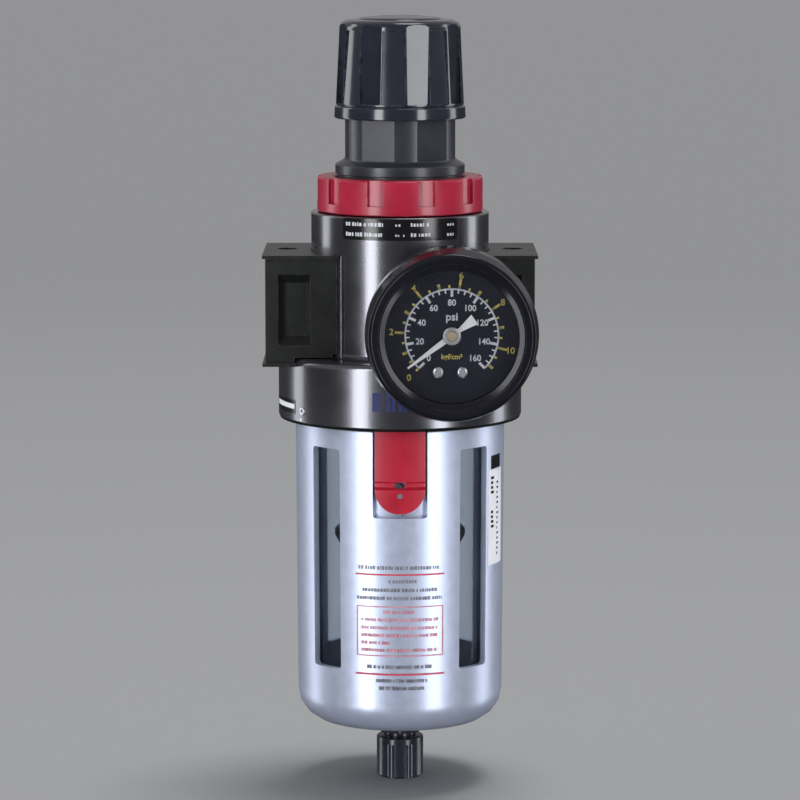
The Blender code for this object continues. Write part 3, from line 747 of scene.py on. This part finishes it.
def rear_plug():
    bm = bmesh.new()
    bar(bm, 5.0, 23.0, 30.8, "Y", (GAUGE_X, GAUGE_Z), SMALL)
    plug = body_from(bm, "gauge_port_plug")
    key = bmesh.new()
    bar(key, 2.9, 27.5, 33, "Y", (GAUGE_X, GAUGE_Z), 6)
    carve(plug, key)
    soften(plug, 0.35, 40.0)
    stand_for(plug, STEEL, "rear_gauge_plug")


def lock_ring():
    ring = body_from(
        lathe(
            [
                (22.4, 42.8, 0.2), (27.4, 42.8, 0.9), (27.4, 31.3, 0.5), (24.8, 31.3), (24.8, 40.7),
                (21.8, 40.7), (21.8, 42.2),
            ],
            160,
        ),
        "bonnet_lock_ring",
    )
    pockets = bmesh.new()
    strip(pockets, -2.8, 2.8, 34.4, 44.0, 2.0, 1.25)
    wrap(pockets, 27.4)
    turn_about_z(pockets, 19.0, pockets.verts)
    around(pockets, 10)
    carve(ring, pockets)
    soften(ring, 0.35, 40.0, 3)
    stand_for(ring, CRIMSON, "lock_ring", sharp=40.0)


def bonnet():
    tower = body_from(
        lathe(
            [
                (12.0, 71.0), (14.5, 70.6, 0.3), (16.5, 68.0, 0.6), (18.6, 66.0, 0.6),
                (18.6, 48.1, 0.6), (20.6, 47.1, 0.3), (21.4, 46.6, 0.2), (21.4, 43.7), (20.6, 43.4),
                (20.6, 40.4), (24.2, 40.4), (24.2, 37.6), (14.6, 37.6), (14.6, 68.0), (4.3, 68.0),
                (4.3, 71.0),
            ]
        ),
        "bonnet_tower",
    )
    flats = bmesh.new()
    block(flats, (-12, -24, 48.4), (12, -17.7, 72), turn=-24.0)
    around(flats, 6)
    carve(tower, flats)
    soften(tower, 0.5, 30.0, 3)
    stand_for(tower, BONNET_SATIN, "bonnet", sharp=30.0)


def knob_flats():
    """Eight upright flats, flush with the knob above and sunk into its flare below."""
    flats = bmesh.new()
    verts = block(flats, (-3.8, -24, 66.9), (3.8, -19.5, 97.0), corner=0.5)
    turn_about_z(flats, 17.0, verts)
    around(flats, 8)
    return flats


def knob_grips():
    """Eight round-bottomed recesses between the flats, deep above and run out below."""
    grips = bmesh.new()
    strip(grips, -3.75, 3.75, 66.9, 90.9, 3.0, 0.0)
    for vert in grips.verts:
        if abs(vert.co.y) < 0.1 * MM:
            vert.co.y = (1.0 if vert.co.z > 80 * MM else -0.75) * MM
    wrap(grips, 20.3)
    turn_about_z(grips, -6.0, grips.verts)
    around(grips, 8)
    return grips


def round_ribs(piece, width):
    """Rounds the long upright edges, however blunt."""
    bm = bmesh.new()
    bm.from_mesh(piece.data)
    bmesh.ops.remove_doubles(bm, verts=bm.verts, dist=1e-6)
    upright = [e for e in bm.edges if is_along(e, 2) and e.calc_length() > 8 * MM]
    ribs = [e for e in upright if e.calc_face_angle(0.0) > math.radians(8)]
    round_edges(bm, ribs, width, 3)
    bm.to_mesh(piece.data)
    bm.free()


def knob():
    shell = body_from(
        lathe(
            [
                (14.5, 94.2, 0.15), (17.9, 93.9, 0.3), (19.3, 93.2, 0.4), (19.95, 91.9, 0.4),
                (21.2, 66.5, 0.25), (20.9, 66.1), (21.5, 65.7, 0.25), (21.7, 62.2, 0.2),
                (21.4, 61.8, 0.15), (19.2, 61.8, 0.2), (19.2, 67.2), (16.9, 69.6), (16.9, 74.8),
                (9.0, 74.8), (9.0, 73.4), (7.0, 73.4), (7.0, 74.8), (5.0, 74.8), (5.0, 90.0),
                (6.0, 91.2), (14.5, 91.2),
            ],
            160,
        ),
        "knob_shell",
    )
    carve(shell, knob_flats())
    carve(shell, knob_grips())
    round_ribs(shell, 0.5)
    soften(shell, 0.3, 35.0, 3)
    stand_for(shell, KNOB_GLOSS, "adjusting_knob", sharp=35.0)
    cap = body_from(
        lathe(
            [(0, 95.5), (7.0, 95.3, 0.5), (13.2, 94.7, 0.4), (14.2, 94.1, 0.3), (14.2, 91.5), (0, 91.5)],
            closed=False,
        ),
        "knob_top_cap",
    )
    stand_for(cap, KNOB_GLOSS, "knob_cap")


# Bowl


def guard():
    shell = body_from(
        lathe(
            [
                (33.9, -29.7), (33.9, -37.6, 0.2), (34.78, -38.2, 0.3), (34.1, -139.5, 10.0),
                (9.8, -139.5, 0.4), (9.8, -137.3), (31.8, -137.3, 7.8), (32.4, -40.0),
                (32.4, -29.7),
            ],
            192,
        ),
        "bowl_shield",
    )
    windows = bmesh.new()
    block(windows, (-6.2, -40, -117.9), (6.2, -25, -44.7), turn=45, corner=1.2, along="Y")
    around(windows, 4)
    block(windows, (-8.9, -40, -66.6), (8.9, -25, -28), corner=1.2, along="Y")
    carve(shell, windows)
    lugs = bmesh.new()
    block(lugs, (-4.6, -36.8, -32.9), (4.6, -33.2, -29.9), turn=45, corner=0.4, along="Y")
    around(lugs, 4)
    carve(shell, lugs, "UNION")
    soften(shell, 0.3, 40.0, 3)
    stand_for(shell, SILVER, "bowl_guard", sharp=35.0)
    backing = bmesh.new()
    strip(backing, -9.4, 9.4, -67.6, -38.4, 0.2, 0.2)
    fix_to(body_from(wrap(backing, 32.2), "latch_backing"), SILVER, "bowl_unit")


def bowl():
    wall = body_from(
        lathe(
            [
                (30.6, -20.3), (30.6, -22.4), (29.1, -22.4), (29.1, -24.4), (30.6, -24.4),
                (30.6, -26.6), (34.6, -26.6), (34.6, -29.4), (31.9, -29.4), (31.2, -136.8, 8.8),
                (5.3, -136.8), (5.3, -134.7), (29.1, -134.7, 6.7), (29.6, -29.6), (27.6, -27.0),
                (27.6, -20.3),
            ]
        ),
        "clear_bowl",
    )
    stand_for(wall, BOWL_CLEAR, "bowl")
    element = body_from(
        lathe([(12.0, -27.0, 0.5), (18.0, -27.0, 0.5), (18.0, -72.0, 0.5), (12.0, -72.0, 0.5)], 96),
        "sintered_element",
    )
    stand_for(element, FILTER, "filter_element")
    baffle = body_from(
        lathe(
            [
                (2.8, -72.3), (18.4, -72.3, 0.4), (21.2, -74.8, 0.4), (21.8, -75.4, 0.2),
                (21.8, -77.2, 0.2), (20.0, -80.5, 0.4), (2.8, -80.5),
            ]
        ),
        "quiet_zone_baffle",
    )
    stand_for(baffle, INNER_BLACK, "filter_baffle")
    stud = body_from(
        lathe(
            [
                (0, -32.3), (2.5, -32.3), (2.5, -80.8), (6.0, -80.8, 0.4), (6.0, -85.0, 0.6),
                (4.5, -86.5, 0.3), (0, -86.5),
            ],
            SMALL,
            closed=False,
        ),
        "baffle_nut",
    )
    stand_for(stud, INNER_BLACK, "baffle_stud")


def latch():
    button = body_from(
        lathe(
            [
                (35.3, -37.0, 0.3), (35.6, -54.4, 0.3), (34.8, -54.9, 0.2), (34.8, -56.2, 0.2),
                (36.4, -57.0, 0.5), (36.0, -65.0, 0.4), (32.5, -65.0), (32.5, -37.0),
            ],
            192,
        ),
        "latch_button_face",
    )
    outline = bmesh.new()
    block(outline, (-8.25, -40, -56.75), (8.25, -28, -36.0))
    carve(button, outline_with_round(outline), "INTERSECT")
    pocket = bmesh.new()
    block(pocket, (-1.7, -35.3, -66), (1.7, -32, -53))
    carve(button, pocket)
    soften(button, 0.35, 40.0, 3)
    stand_for(button, LATCH_RED, "latch_button", sharp=35.0)
    rows = [(0, 0.12), (0.8, 0.12, 0.1), (1.0, -0.2), (0, -0.2)]
    dimple = body_from(lathe(rows, 24, closed=False), "latch_dot")
    dimple.data.transform(Matrix.Translation((0, -36.3 * MM, -58.9 * MM)) @ LIE_FORWARD)
    fix_to(dimple, PRINT_GREY, "latch")


def outline_with_round(bm):
    """Rounds the outline's lower end with a half disc."""
    low = [v for v in bm.verts if v.co.z < -50 * MM]
    edges = [e for e in bm.edges if e.verts[0] in low and e.verts[1] in low and is_along(e, 1)]
    bmesh.ops.translate(bm, vec=(0, 0, -8.25 * MM), verts=low)
    round_edges(bm, edges, 8.2, 12)
    return bm


def drain():
    nut = refined("drain_nut", "drain_lock_nut", 0.4)
    stand_for(nut, DRAIN_BLACK, "drain_nut")
    stem = body_from(
        lathe(
            [(0, -131.0), (8.0, -131.0), (8.0, -133.1), (5.0, -133.1), (5.0, -152.0), (0, -152.0)],
            SMALL,
            closed=False,
        ),
        "drain_stem",
    )
    stand_for(stem, DRAIN_BLACK, "drain_body")
    tap = body_from(
        lathe(
            [
                (5.4, -146.3), (7.85, -146.3, 0.6), (7.85, -160.0, 0.8), (2.0, -160.0, 0.4),
                (2.0, -153.5), (5.4, -153.5),
            ],
            96,
        ),
        "drain_tap",
    )
    grooves = bmesh.new()
    bar(grooves, 1.7, -162, -148.4, at=(8.9 * math.cos(math.pi / 8), 8.9 * math.sin(math.pi / 8)), sides=24)
    around(grooves, 8)
    carve(tap, grooves)
    soften(tap, 0.25, 40.0)
    stand_for(tap, DRAIN_BLACK, "drain_knob")


# Gauge


def gauge_body():
    case = body_from(
        onto_gauge(
            lathe(
                [
                    (23.8, 55.7), (27.2, 55.7, 0.3), (27.8, 52.6, 0.8), (27.8, 43.0, 0.6),
                    (26.2, 41.2, 0.6), (5.6, 41.2), (5.6, 42.6), (23.8, 42.6),
                ],
                160,
            )
        ),
        "gauge_shell",
    )
    stand_for(case, GAUGE_BLACK, "gauge_case")
    rim = body_from(
        onto_gauge(
            lathe(
                [
                    (21.3, 59.2, 0.15), (23.1, 60.0, 0.15), (23.4, 60.5, 0.1), (25.4, 60.9, 0.3),
                    (26.6, 60.1, 0.4), (27.4, 56.0, 0.2), (24.9, 56.0), (24.9, 58.7), (21.3, 58.7),
                ],
                160,
            )
        ),
        "gauge_rim",
    )
    stand_for(rim, GAUGE_BLACK, "gauge_bezel")
    lens = body_from(
        onto_gauge(lathe([(0, 58.4), (24.6, 58.4, 0.2), (24.6, 57.0, 0.2), (0, 57.0)], 160, closed=False)),
        "gauge_lens",
    )
    stand_for(lens, LENS, "gauge_window")
    rows = [(0, 52.0), (23.4, 52.0, 0.1), (23.4, 51.2), (0, 51.2)]
    dial = body_from(onto_gauge(lathe(rows, closed=False)), "gauge_face")
    stand_for(dial, DIAL, "gauge_dial")
    socket = refined("gauge_socket", "gauge_stem", 0.25)
    stand_for(socket, BRASS, "gauge_socket")


def dial_strokes(bm, values, full, near, far, width):
    """Radial strokes for values on a scale that runs clockwise from lower left to lower right."""
    for value in values:
        angle = SCALE_START - SCALE_SWEEP * value / full
        verts = block(bm, (-width / 2, near, DIAL_FRONT - 0.05), (width / 2, far, DIAL_FRONT + 0.07))
        turn_about_z(bm, angle, verts)


def lettering(bm, text, size, at, stretch=1.0):
    """Adds raised text, centred at a point of the dial."""
    data = bpy.data.curves.new("figures", "FONT")
    data.body = text
    data.size = size * MM
    data.extrude = 0.05 * MM
    data.offset = 0.02 * size * MM
    data.align_x = "CENTER"
    data.align_y = "CENTER"
    data.resolution_u = 3
    draft = bpy.data.objects.new("figures", data)
    bpy.context.scene.collection.objects.link(draft)
    graph = bpy.context.evaluated_depsgraph_get()
    mesh = bpy.data.meshes.new_from_object(draft.evaluated_get(graph))
    bpy.data.objects.remove(draft)
    place = Matrix.Translation((at[0] * MM, at[1] * MM, (DIAL_FRONT + 0.03) * MM))
    mesh.transform(place @ Matrix.Diagonal((stretch, 1.0, 1.0, 1.0)))
    bm.from_mesh(mesh)
    bpy.data.meshes.remove(mesh)


def dial_point(value, full, radius):
    angle = math.radians(SCALE_START - SCALE_SWEEP * value / full)
    return -radius * math.sin(angle), radius * math.cos(angle)


def dial_scales():
    full = 160
    white = bmesh.new()
    dial_strokes(white, range(0, full + 1, 20), full, 12.4, 14.8, 0.85)
    dial_strokes(white, [v for v in range(5, full, 5) if v % 20], full, 13.5, 14.8, 0.45)
    for value in range(0, full + 1, 20):
        lettering(white, str(value), 2.8, dial_point(value, full, 10.4), 0.95)
    lettering(white, "psi", 3.6, (0, 5.9))
    marks = body_from(onto_gauge(white), "dial_white_marks")
    fix_to(marks, PRINT_AND_HIGHLIGHT_WHITE, "body")
    under, over = DIAL_FRONT - 0.05, DIAL_FRONT + 0.06
    arc_line = lathe([(14.55, under), (14.55, over), (15.1, over), (15.1, under)], 144)
    gap = [f for f in arc_line.faces if in_scale_gap(f.calc_center_median())]
    bmesh.ops.delete(arc_line, geom=gap, context="FACES")
    bmesh.ops.holes_fill(arc_line, edges=[e for e in arc_line.edges if e.is_boundary], sides=4)
    fix_to(body_from(onto_gauge(arc_line), "dial_scale_line"), SCALE_WHITE, "body")
    outer = 11.25
    yellow = bmesh.new()
    dial_strokes(yellow, [0.5 * i for i in range(23)], outer, 15.2, 16.1, 0.65)
    dial_strokes(yellow, [v for v in range(12) if v % 2], outer, 15.3, 16.8, 0.9)
    dial_strokes(yellow, range(2, 11, 2), outer, 15.3, 18.2, 0.75)
    for value in range(0, 11, 2):
        lettering(yellow, str(value), 2.9, dial_point(value, outer, 19.3))
    lettering(yellow, "kgf/cm²", 2.3, (0, -6.9))
    marks = body_from(onto_gauge(yellow), "dial_yellow_marks")
    fix_to(marks, SCALE_YELLOW, "body")


def in_scale_gap(point):
    """True below the dial, between the two ends of its scale."""
    return abs(math.degrees(math.atan2(point.x, -point.y))) < 44.5


def pointer():
    bm = bmesh.new()
    blade = block(bm, (-1.0, 2.0, NEEDLE_BACK), (1.0, 17.5, NEEDLE_FRONT))
    tip = [v for v in blade if v.co.y > 10 * MM]
    bmesh.ops.scale(bm, vec=(0.3, 1.0, 1.0), space=Matrix.Identity(4), verts=tip)
    tail = block(bm, (-0.8, -9.0, NEEDLE_BACK), (0.8, 2.0, NEEDLE_FRONT))
    wide = [v for v in tail if v.co.y < -5 * MM]
    bmesh.ops.scale(bm, vec=(2.3, 1.0, 1.0), space=Matrix.Identity(4), verts=wide)
    neck = [e for e in bm.edges if is_along(e, 1) and any(v in wide for v in e.verts)]
    cut = bmesh.ops.subdivide_edges(bm, edges=neck, cuts=1, use_grid_fill=True)
    waist = [v for v in cut["geom_inner"] if isinstance(v, bmesh.types.BMVert)]
    bmesh.ops.scale(bm, vec=(0.55, 1.0, 1.0), space=Matrix.Identity(4), verts=waist)
    end = [e for e in bm.edges if all(v in wide for v in e.verts) and is_along(e, 0)]
    notch = bmesh.ops.subdivide_edges(bm, edges=end, cuts=1, use_grid_fill=True)
    middle = [v for v in notch["geom_inner"] if isinstance(v, bmesh.types.BMVert)]
    bmesh.ops.translate(bm, vec=(0, 1.4 * MM, 0), verts=middle)
    turn_about_z(bm, POINTER_REST, bm.verts)
    needle = body_from(onto_gauge(bm), "gauge_needle")
    soften(needle, 0.06, 40.0)
    stand_for(needle, POINTER_WHITE, "gauge_pointer")
    rows = [(1.75, 54.95), (2.7, 54.9, 0.15), (2.9, 54.6, 0.1), (2.9, 54.2), (1.75, 54.2)]
    collar = body_from(onto_gauge(lathe(rows, 64)), "needle_collar")
    stand_for(collar, STEEL, "pointer_hub")
    rows = [(0, 55.2), (1.5, 55.15, 0.15), (1.7, 54.9), (1.7, 54.25), (0, 54.25)]
    cap = body_from(onto_gauge(lathe(rows, 48, closed=False)), "needle_cap")
    fix_to(cap, HUB_TAN, "pointer")


def dial_screws():
    for index, x in enumerate((-4.4, 3.4)):
        rows = [(0, 53.1), (1.3, 53.05, 0.2), (1.8, 52.7, 0.15), (1.8, 52.1)]
        rows += [(0.9, 52.1), (0.9, 49.9), (0, 49.9)]
        head = body_from(lathe(rows, 40, closed=False), f"dial_fixing_{index + 1}")
        slot = bmesh.new()
        block(slot, (-2.2, -0.36, 52.6), (2.2, 0.36, 54), turn=70 + 30 * index)
        carve(head, slot)
        soften(head, 0.06, 40.0)
        head.data.transform(Matrix.Translation((x * MM, -11.9 * MM, 0)))
        head.data.transform(TO_GAUGE)
        stand_for(head, STEEL, f"dial_screw_{index + 1}")


# Printing


def greek_row(bm, rng, left, right, z, tall, height, gaps=0.3, longest=1.0):
    """A row of short bars that stands for a line of small print."""
    x = left
    while x < right - 0.3:
        long = min(rng.uniform(0.35, longest), right - x)
        rise = tall * rng.uniform(0.3, 0.5)
        strip(bm, x, x + long, z - tall / 2, z + rise, height)
        x += long + gaps * (2.2 if rng.random() < 0.2 else rng.uniform(0.6, 1.1))


def body_label():
    rng = random.Random(11)
    plate = bmesh.new()
    reach = BODY_R * math.radians(39)
    strip(plate, -reach, reach, 23.7, 30.7, 0.1)
    ends = [e for e in plate.edges if is_along(e, 1) and abs(e.verts[0].co.x) > (reach - 0.1) * MM]
    round_edges(plate, ends, 1.0, 4)
    fix_to(body_from(wrap(plate, BODY_R), "maker_label"), LABEL_AND_SHADE_BLACK, "body")
    marks = bmesh.new()
    for z in (28.9, 25.6):
        greek_row(marks, rng, -reach + 1.3, -reach + 14.5, z, 1.3, 0.16, 0.35, 1.1)
        greek_row(marks, rng, -1.5, 1.5, z - 0.2, 0.7, 0.16, 0.6, 0.6)
        greek_row(marks, rng, 3.5, reach - 9.5, z, 1.2, 0.16, 0.4, 1.0)
        greek_row(marks, rng, reach - 4.0, reach - 1.5, z - 0.2, 0.9, 0.16, 0.5, 0.8)
    fix_to(body_from(wrap(marks, BODY_R), "label_lines"), SCALE_WHITE, "body")


def collar_trim():
    blue = bmesh.new()
    for index, x in enumerate((-9.0, -7.4, -4.6, -2.6, -0.6, 1.3)):
        strip(blue, x, x + (1.1 if index % 2 else 1.5), -30.6, -24.6, 0.06)
    fix_to(body_from(wrap(blue, COLLAR_R), "collar_blue_bars"), PRINT_BLUE, "body")
    # Low on the collar's left: a black ground with a white bar in it, painted shade and a painted highlight
    # that stand for a notch in the collar and the guard's flange lit inside it.
    at = COLLAR_R * math.radians(-82)
    to = COLLAR_R * math.radians(-58)
    black = bmesh.new()
    strip(black, at, to, -34.0, -29.4, 0.05)
    fix_to(body_from(wrap(black, COLLAR_R), "collar_notch_painted_shade"), LABEL_AND_SHADE_BLACK, "body")
    # The first white strip is the painted highlight of that flange; the short one below is a printed index
    # mark.
    white = bmesh.new()
    strip(white, at + 0.4, to - 0.6, -32.4, -30.8, 0.1)
    strip(white, to + 2.6, to + 3.8, -36.0, -35.0, 0.08)
    fix_to(body_from(wrap(white, COLLAR_R), "collar_notch_painted_highlight_and_index"), PRINT_AND_HIGHLIGHT_WHITE, "body")
    boss = lathe([(0.55, 0.35, 0.1), (1.25, 0.35, 0.15), (1.25, -0.4), (0.55, -0.4)], 32)
    turn = Matrix.Rotation(math.radians(-52), 4, "Z") @ Matrix.Translation((0, -COLLAR_R * MM, -32.6 * MM))
    bmesh.ops.transform(boss, matrix=turn @ LIE_FORWARD, verts=boss.verts)
    fix_to(body_from(boss, "collar_index_ring"), STEEL, "body")


GUARD_LINES = (  # left end, right end and height of each grey row
    (-3.8, 5.4, -87.4), (-12.5, 12.5, -90.3), (-14.5, 14.0, -93.0), (-11.0, 11.0, -115.9),
    (-8.0, 9.0, -120.5), (-7.0, 8.0, -123.0),
)
BOX_LINES = (
    (-5.5, 4.5, -97.6), (-13.0, 13.0, -100.2), (-13.0, 12.4, -102.9), (-13.0, 12.8, -105.4),
    (-13.0, -3.5, -107.9), (-13.0, 12.6, -110.3),
)


PRINT_RISE = 0.05  # how far the ink stands off the guard
FRAME_LINE = 0.35  # the width of the lines round the boxed rows


def guard_print():
    rng = random.Random(5)
    grey = bmesh.new()
    greek_row(grey, rng, -14.0, 13.0, -82.9, 1.3, PRINT_RISE, 0.3, 0.9)
    for left, right, z in GUARD_LINES:
        greek_row(grey, rng, left, right, z, 1.15, PRINT_RISE)
    fix_to(body_from(wrap(grey, GUARD_R), "guard_grey_lines"), PRINT_GREY, "bowl_unit")
    red = bmesh.new()
    strip(red, -15.0, 15.0, -85.5, -84.95, PRINT_RISE)
    strip(red, -15.0, 15.0, -118.7, -118.15, PRINT_RISE)
    fix_to(body_from(wrap(red, GUARD_R), "guard_red_rules"), PRINT_RED, "bowl_unit")
    pink = bmesh.new()
    top, foot, edge = -95.7, -112.4, 14.6
    strip(pink, -edge, edge, top - FRAME_LINE, top, PRINT_RISE)
    strip(pink, -edge, edge, foot, foot + FRAME_LINE, PRINT_RISE)
    strip(pink, -edge, -edge + FRAME_LINE, foot, top, PRINT_RISE)
    strip(pink, edge - FRAME_LINE, edge, foot, top, PRINT_RISE)
    for left, right, z in BOX_LINES:
        greek_row(pink, rng, left, right, z, 1.05, PRINT_RISE)
    fix_to(body_from(wrap(pink, GUARD_R), "guard_box_lines"), PRINT_PINK, "bowl_unit")
    left, right = GUARD_R * math.radians(57.5), GUARD_R * math.radians(75)
    plate = bmesh.new()
    strip(plate, left, right, -85.0, -46.5, 0.08)
    fix_to(body_from(wrap(plate, GUARD_R + 0.1), "guard_sticker"), STICKER, "bowl_unit")
    black = bmesh.new()
    for row in range(8):
        z = -55.5 - 1.6 * row - (5.0 if row > 3 else 0.0)
        strip(black, left + 1.6, left + rng.uniform(3.0, 3.8), z - 0.9, z, 0.14)
    for row in range(15):
        z = -57.5 - 1.7 * row
        strip(black, left + 5.9, left + rng.uniform(6.6, 7.4), z - 0.7, z, 0.14)
    strip(black, left + 1.6, right - 1.6, -53.0, -48.5, 0.14)
    fix_to(body_from(wrap(black, GUARD_R + 0.1), "sticker_bars"), LABEL_AND_SHADE_BLACK, "bowl_unit")


SPRINGS = (  # node, the joint that presses it, the height of its fixed end, how far it is pressed
    ("adjusting_spring", "nut_slide", 40.0, 6.3),
    ("valve_spring", "valve_slide", -14.5, 1.5),
    ("latch_spring", "latch_slide", -66.2, 1.2),
)


def springs():
    """Copies of the springs, each moving with the body its node belongs to."""
    for node, joint, foot, travel in SPRINGS:
        bm = bmesh.new()
        bm.from_mesh(frame["nodes"][node].data)
        piece = body_from(bm, node + "_coil")
        stand_for(piece, BY_SLOT[SLOTS[node]], node)
        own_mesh(piece)


def finish_rest():
    """Gives every CAD node that still shows its own slot's finish."""
    for name, node in frame["nodes"].items():
        look = BY_SLOT[SLOTS[name]]
        for slot in node.material_slots:
            slot.material = look


# Stage


DAYLIGHT = (0.955, 0.97, 1.0)
STRIP_LOW, STRIP_HIGH = -0.5, 0.6
STRIP_DISTANCE = 0.8
STRIPS = (  # name, azimuth from the front in degrees to the right, width, power
    ("front_left", -37, 0.21, 5.8),
    ("front_right", 38, 0.2, 4.7),
    ("side_left", -110, 0.22, 2.2),
    ("side_right", 106, 0.22, 2.4),
)


def strip_light(name, azimuth, width, power):
    """A tall softbox that faces the middle."""
    data = bpy.data.lights.new(name, "AREA")
    data.shape = "RECTANGLE"
    data.size = width
    data.size_y = STRIP_HIGH - STRIP_LOW
    data.energy = power
    data.color = DAYLIGHT
    made = bpy.data.objects.new(name, data)
    bpy.context.scene.collection.objects.link(made)
    angle = math.radians(azimuth)
    across, ahead = STRIP_DISTANCE * math.sin(angle), -STRIP_DISTANCE * math.cos(angle)
    made.location = (across, ahead, (STRIP_LOW + STRIP_HIGH) / 2)
    made.rotation_euler = (math.radians(90), 0, angle)
    made.visible_camera = False
    return made


# Floor colours, palest near the middle and darker far out: painted light, a pool that falls off away from
# the object, since the strip lights don't reach the floor.
PAPER_PAINTED_LIT_NEAR = (0.545, 0.545, 0.545)
PAPER_PAINTED_LIT_MID = (0.5, 0.5, 0.5)
PAPER_PAINTED_DIM_FAR = (0.43, 0.43, 0.43)
FLOOR_Z = -160.05  # just under the drain tap


def stage():
    scene = bpy.context.scene
    scene.view_settings.view_transform = "Standard"
    camera = bpy.data.objects.new("camera", bpy.data.cameras.new("camera"))
    scene.collection.objects.link(camera)
    camera.data.lens = 162.0
    camera.data.sensor_width = 36.0
    camera.data.clip_end = 100.0
    camera.location = (0, -1.190, 0.1328)
    camera.rotation_euler = (math.radians(82.1), 0, 0)
    scene.camera = camera
    world = bpy.data.worlds.new("studio")
    world.use_nodes = True
    scene.world = world
    tree = world.node_tree
    aim = tree.nodes.new("ShaderNodeSeparateXYZ")
    tree.links.new(tree.nodes.new("ShaderNodeTexCoord").outputs["Generated"], aim.inputs[0])
    above = range_node(tree, aim.outputs["Z"], -0.02, 0.1)
    behind = range_node(tree, aim.outputs["Y"], -0.9, 0.1)
    upper = mix_colour(tree, behind, (0.2, 0.2, 0.205), (0.34, 0.34, 0.345))
    tint = mix_colour(tree, above, (0.045, 0.045, 0.05), upper)
    tree.links.new(tint, tree.nodes["Background"].inputs["Color"])
    bm = bmesh.new()
    bmesh.ops.create_circle(bm, cap_ends=True, segments=96, radius=40.0)
    bmesh.ops.translate(bm, vec=(0, 0, FLOOR_Z * MM), verts=bm.verts)
    floor = body_from(bm, "studio_floor")
    paper = bpy.data.materials.new("studio_paper_painted_falloff")
    paper.use_nodes = True
    tree = paper.node_tree
    shader = tree.nodes["Principled BSDF"]
    vector = tree.nodes.new("ShaderNodeTexCoord").outputs["Object"]
    reach = tree.nodes.new("ShaderNodeVectorMath")
    reach.operation = "LENGTH"
    tree.links.new(vector, reach.inputs[0])
    # Painted light: the floor's colour fades from pale near the object to darker far away.
    near = mix_colour(tree, range_node(tree, reach.outputs["Value"], 0.1, 0.8), PAPER_PAINTED_LIT_NEAR, PAPER_PAINTED_LIT_MID)
    far = mix_colour(tree, range_node(tree, reach.outputs["Value"], 0.6, 1.7), near, PAPER_PAINTED_DIM_FAR)
    tree.links.new(far, shader.inputs["Base Color"])
    shader.inputs["Roughness"].default_value = 0.9
    shader.inputs["Specular IOR Level"].default_value = 0.1
    floor.data.materials.append(paper)
    floor.visible_glossy = False
    floor.visible_shadow = False
    spared = bpy.data.collections.new("not_lit_by_strips")
    spared.objects.link(floor)
    spared.collection_objects[0].light_linking.link_state = "EXCLUDE"
    for row in STRIPS:
        strip_light(*row).light_linking.receiver_collection = spared
    sky = bpy.data.lights.new("overhead", "SUN")
    sky.energy = 1.2
    sky.angle = math.radians(25)
    sky.color = DAYLIGHT
    top = bpy.data.objects.new("overhead", sky)
    top.rotation_euler = (math.radians(-8), math.radians(8), 0)
    scene.collection.objects.link(top)


casting()
port_blocks()
rear_plug()
lock_ring()
bonnet()
knob()
guard()
bowl()
latch()
drain()
gauge_body()
dial_scales()
pointer()
dial_screws()
body_label()
collar_trim()
guard_print()
springs()
finish_rest()
stage()
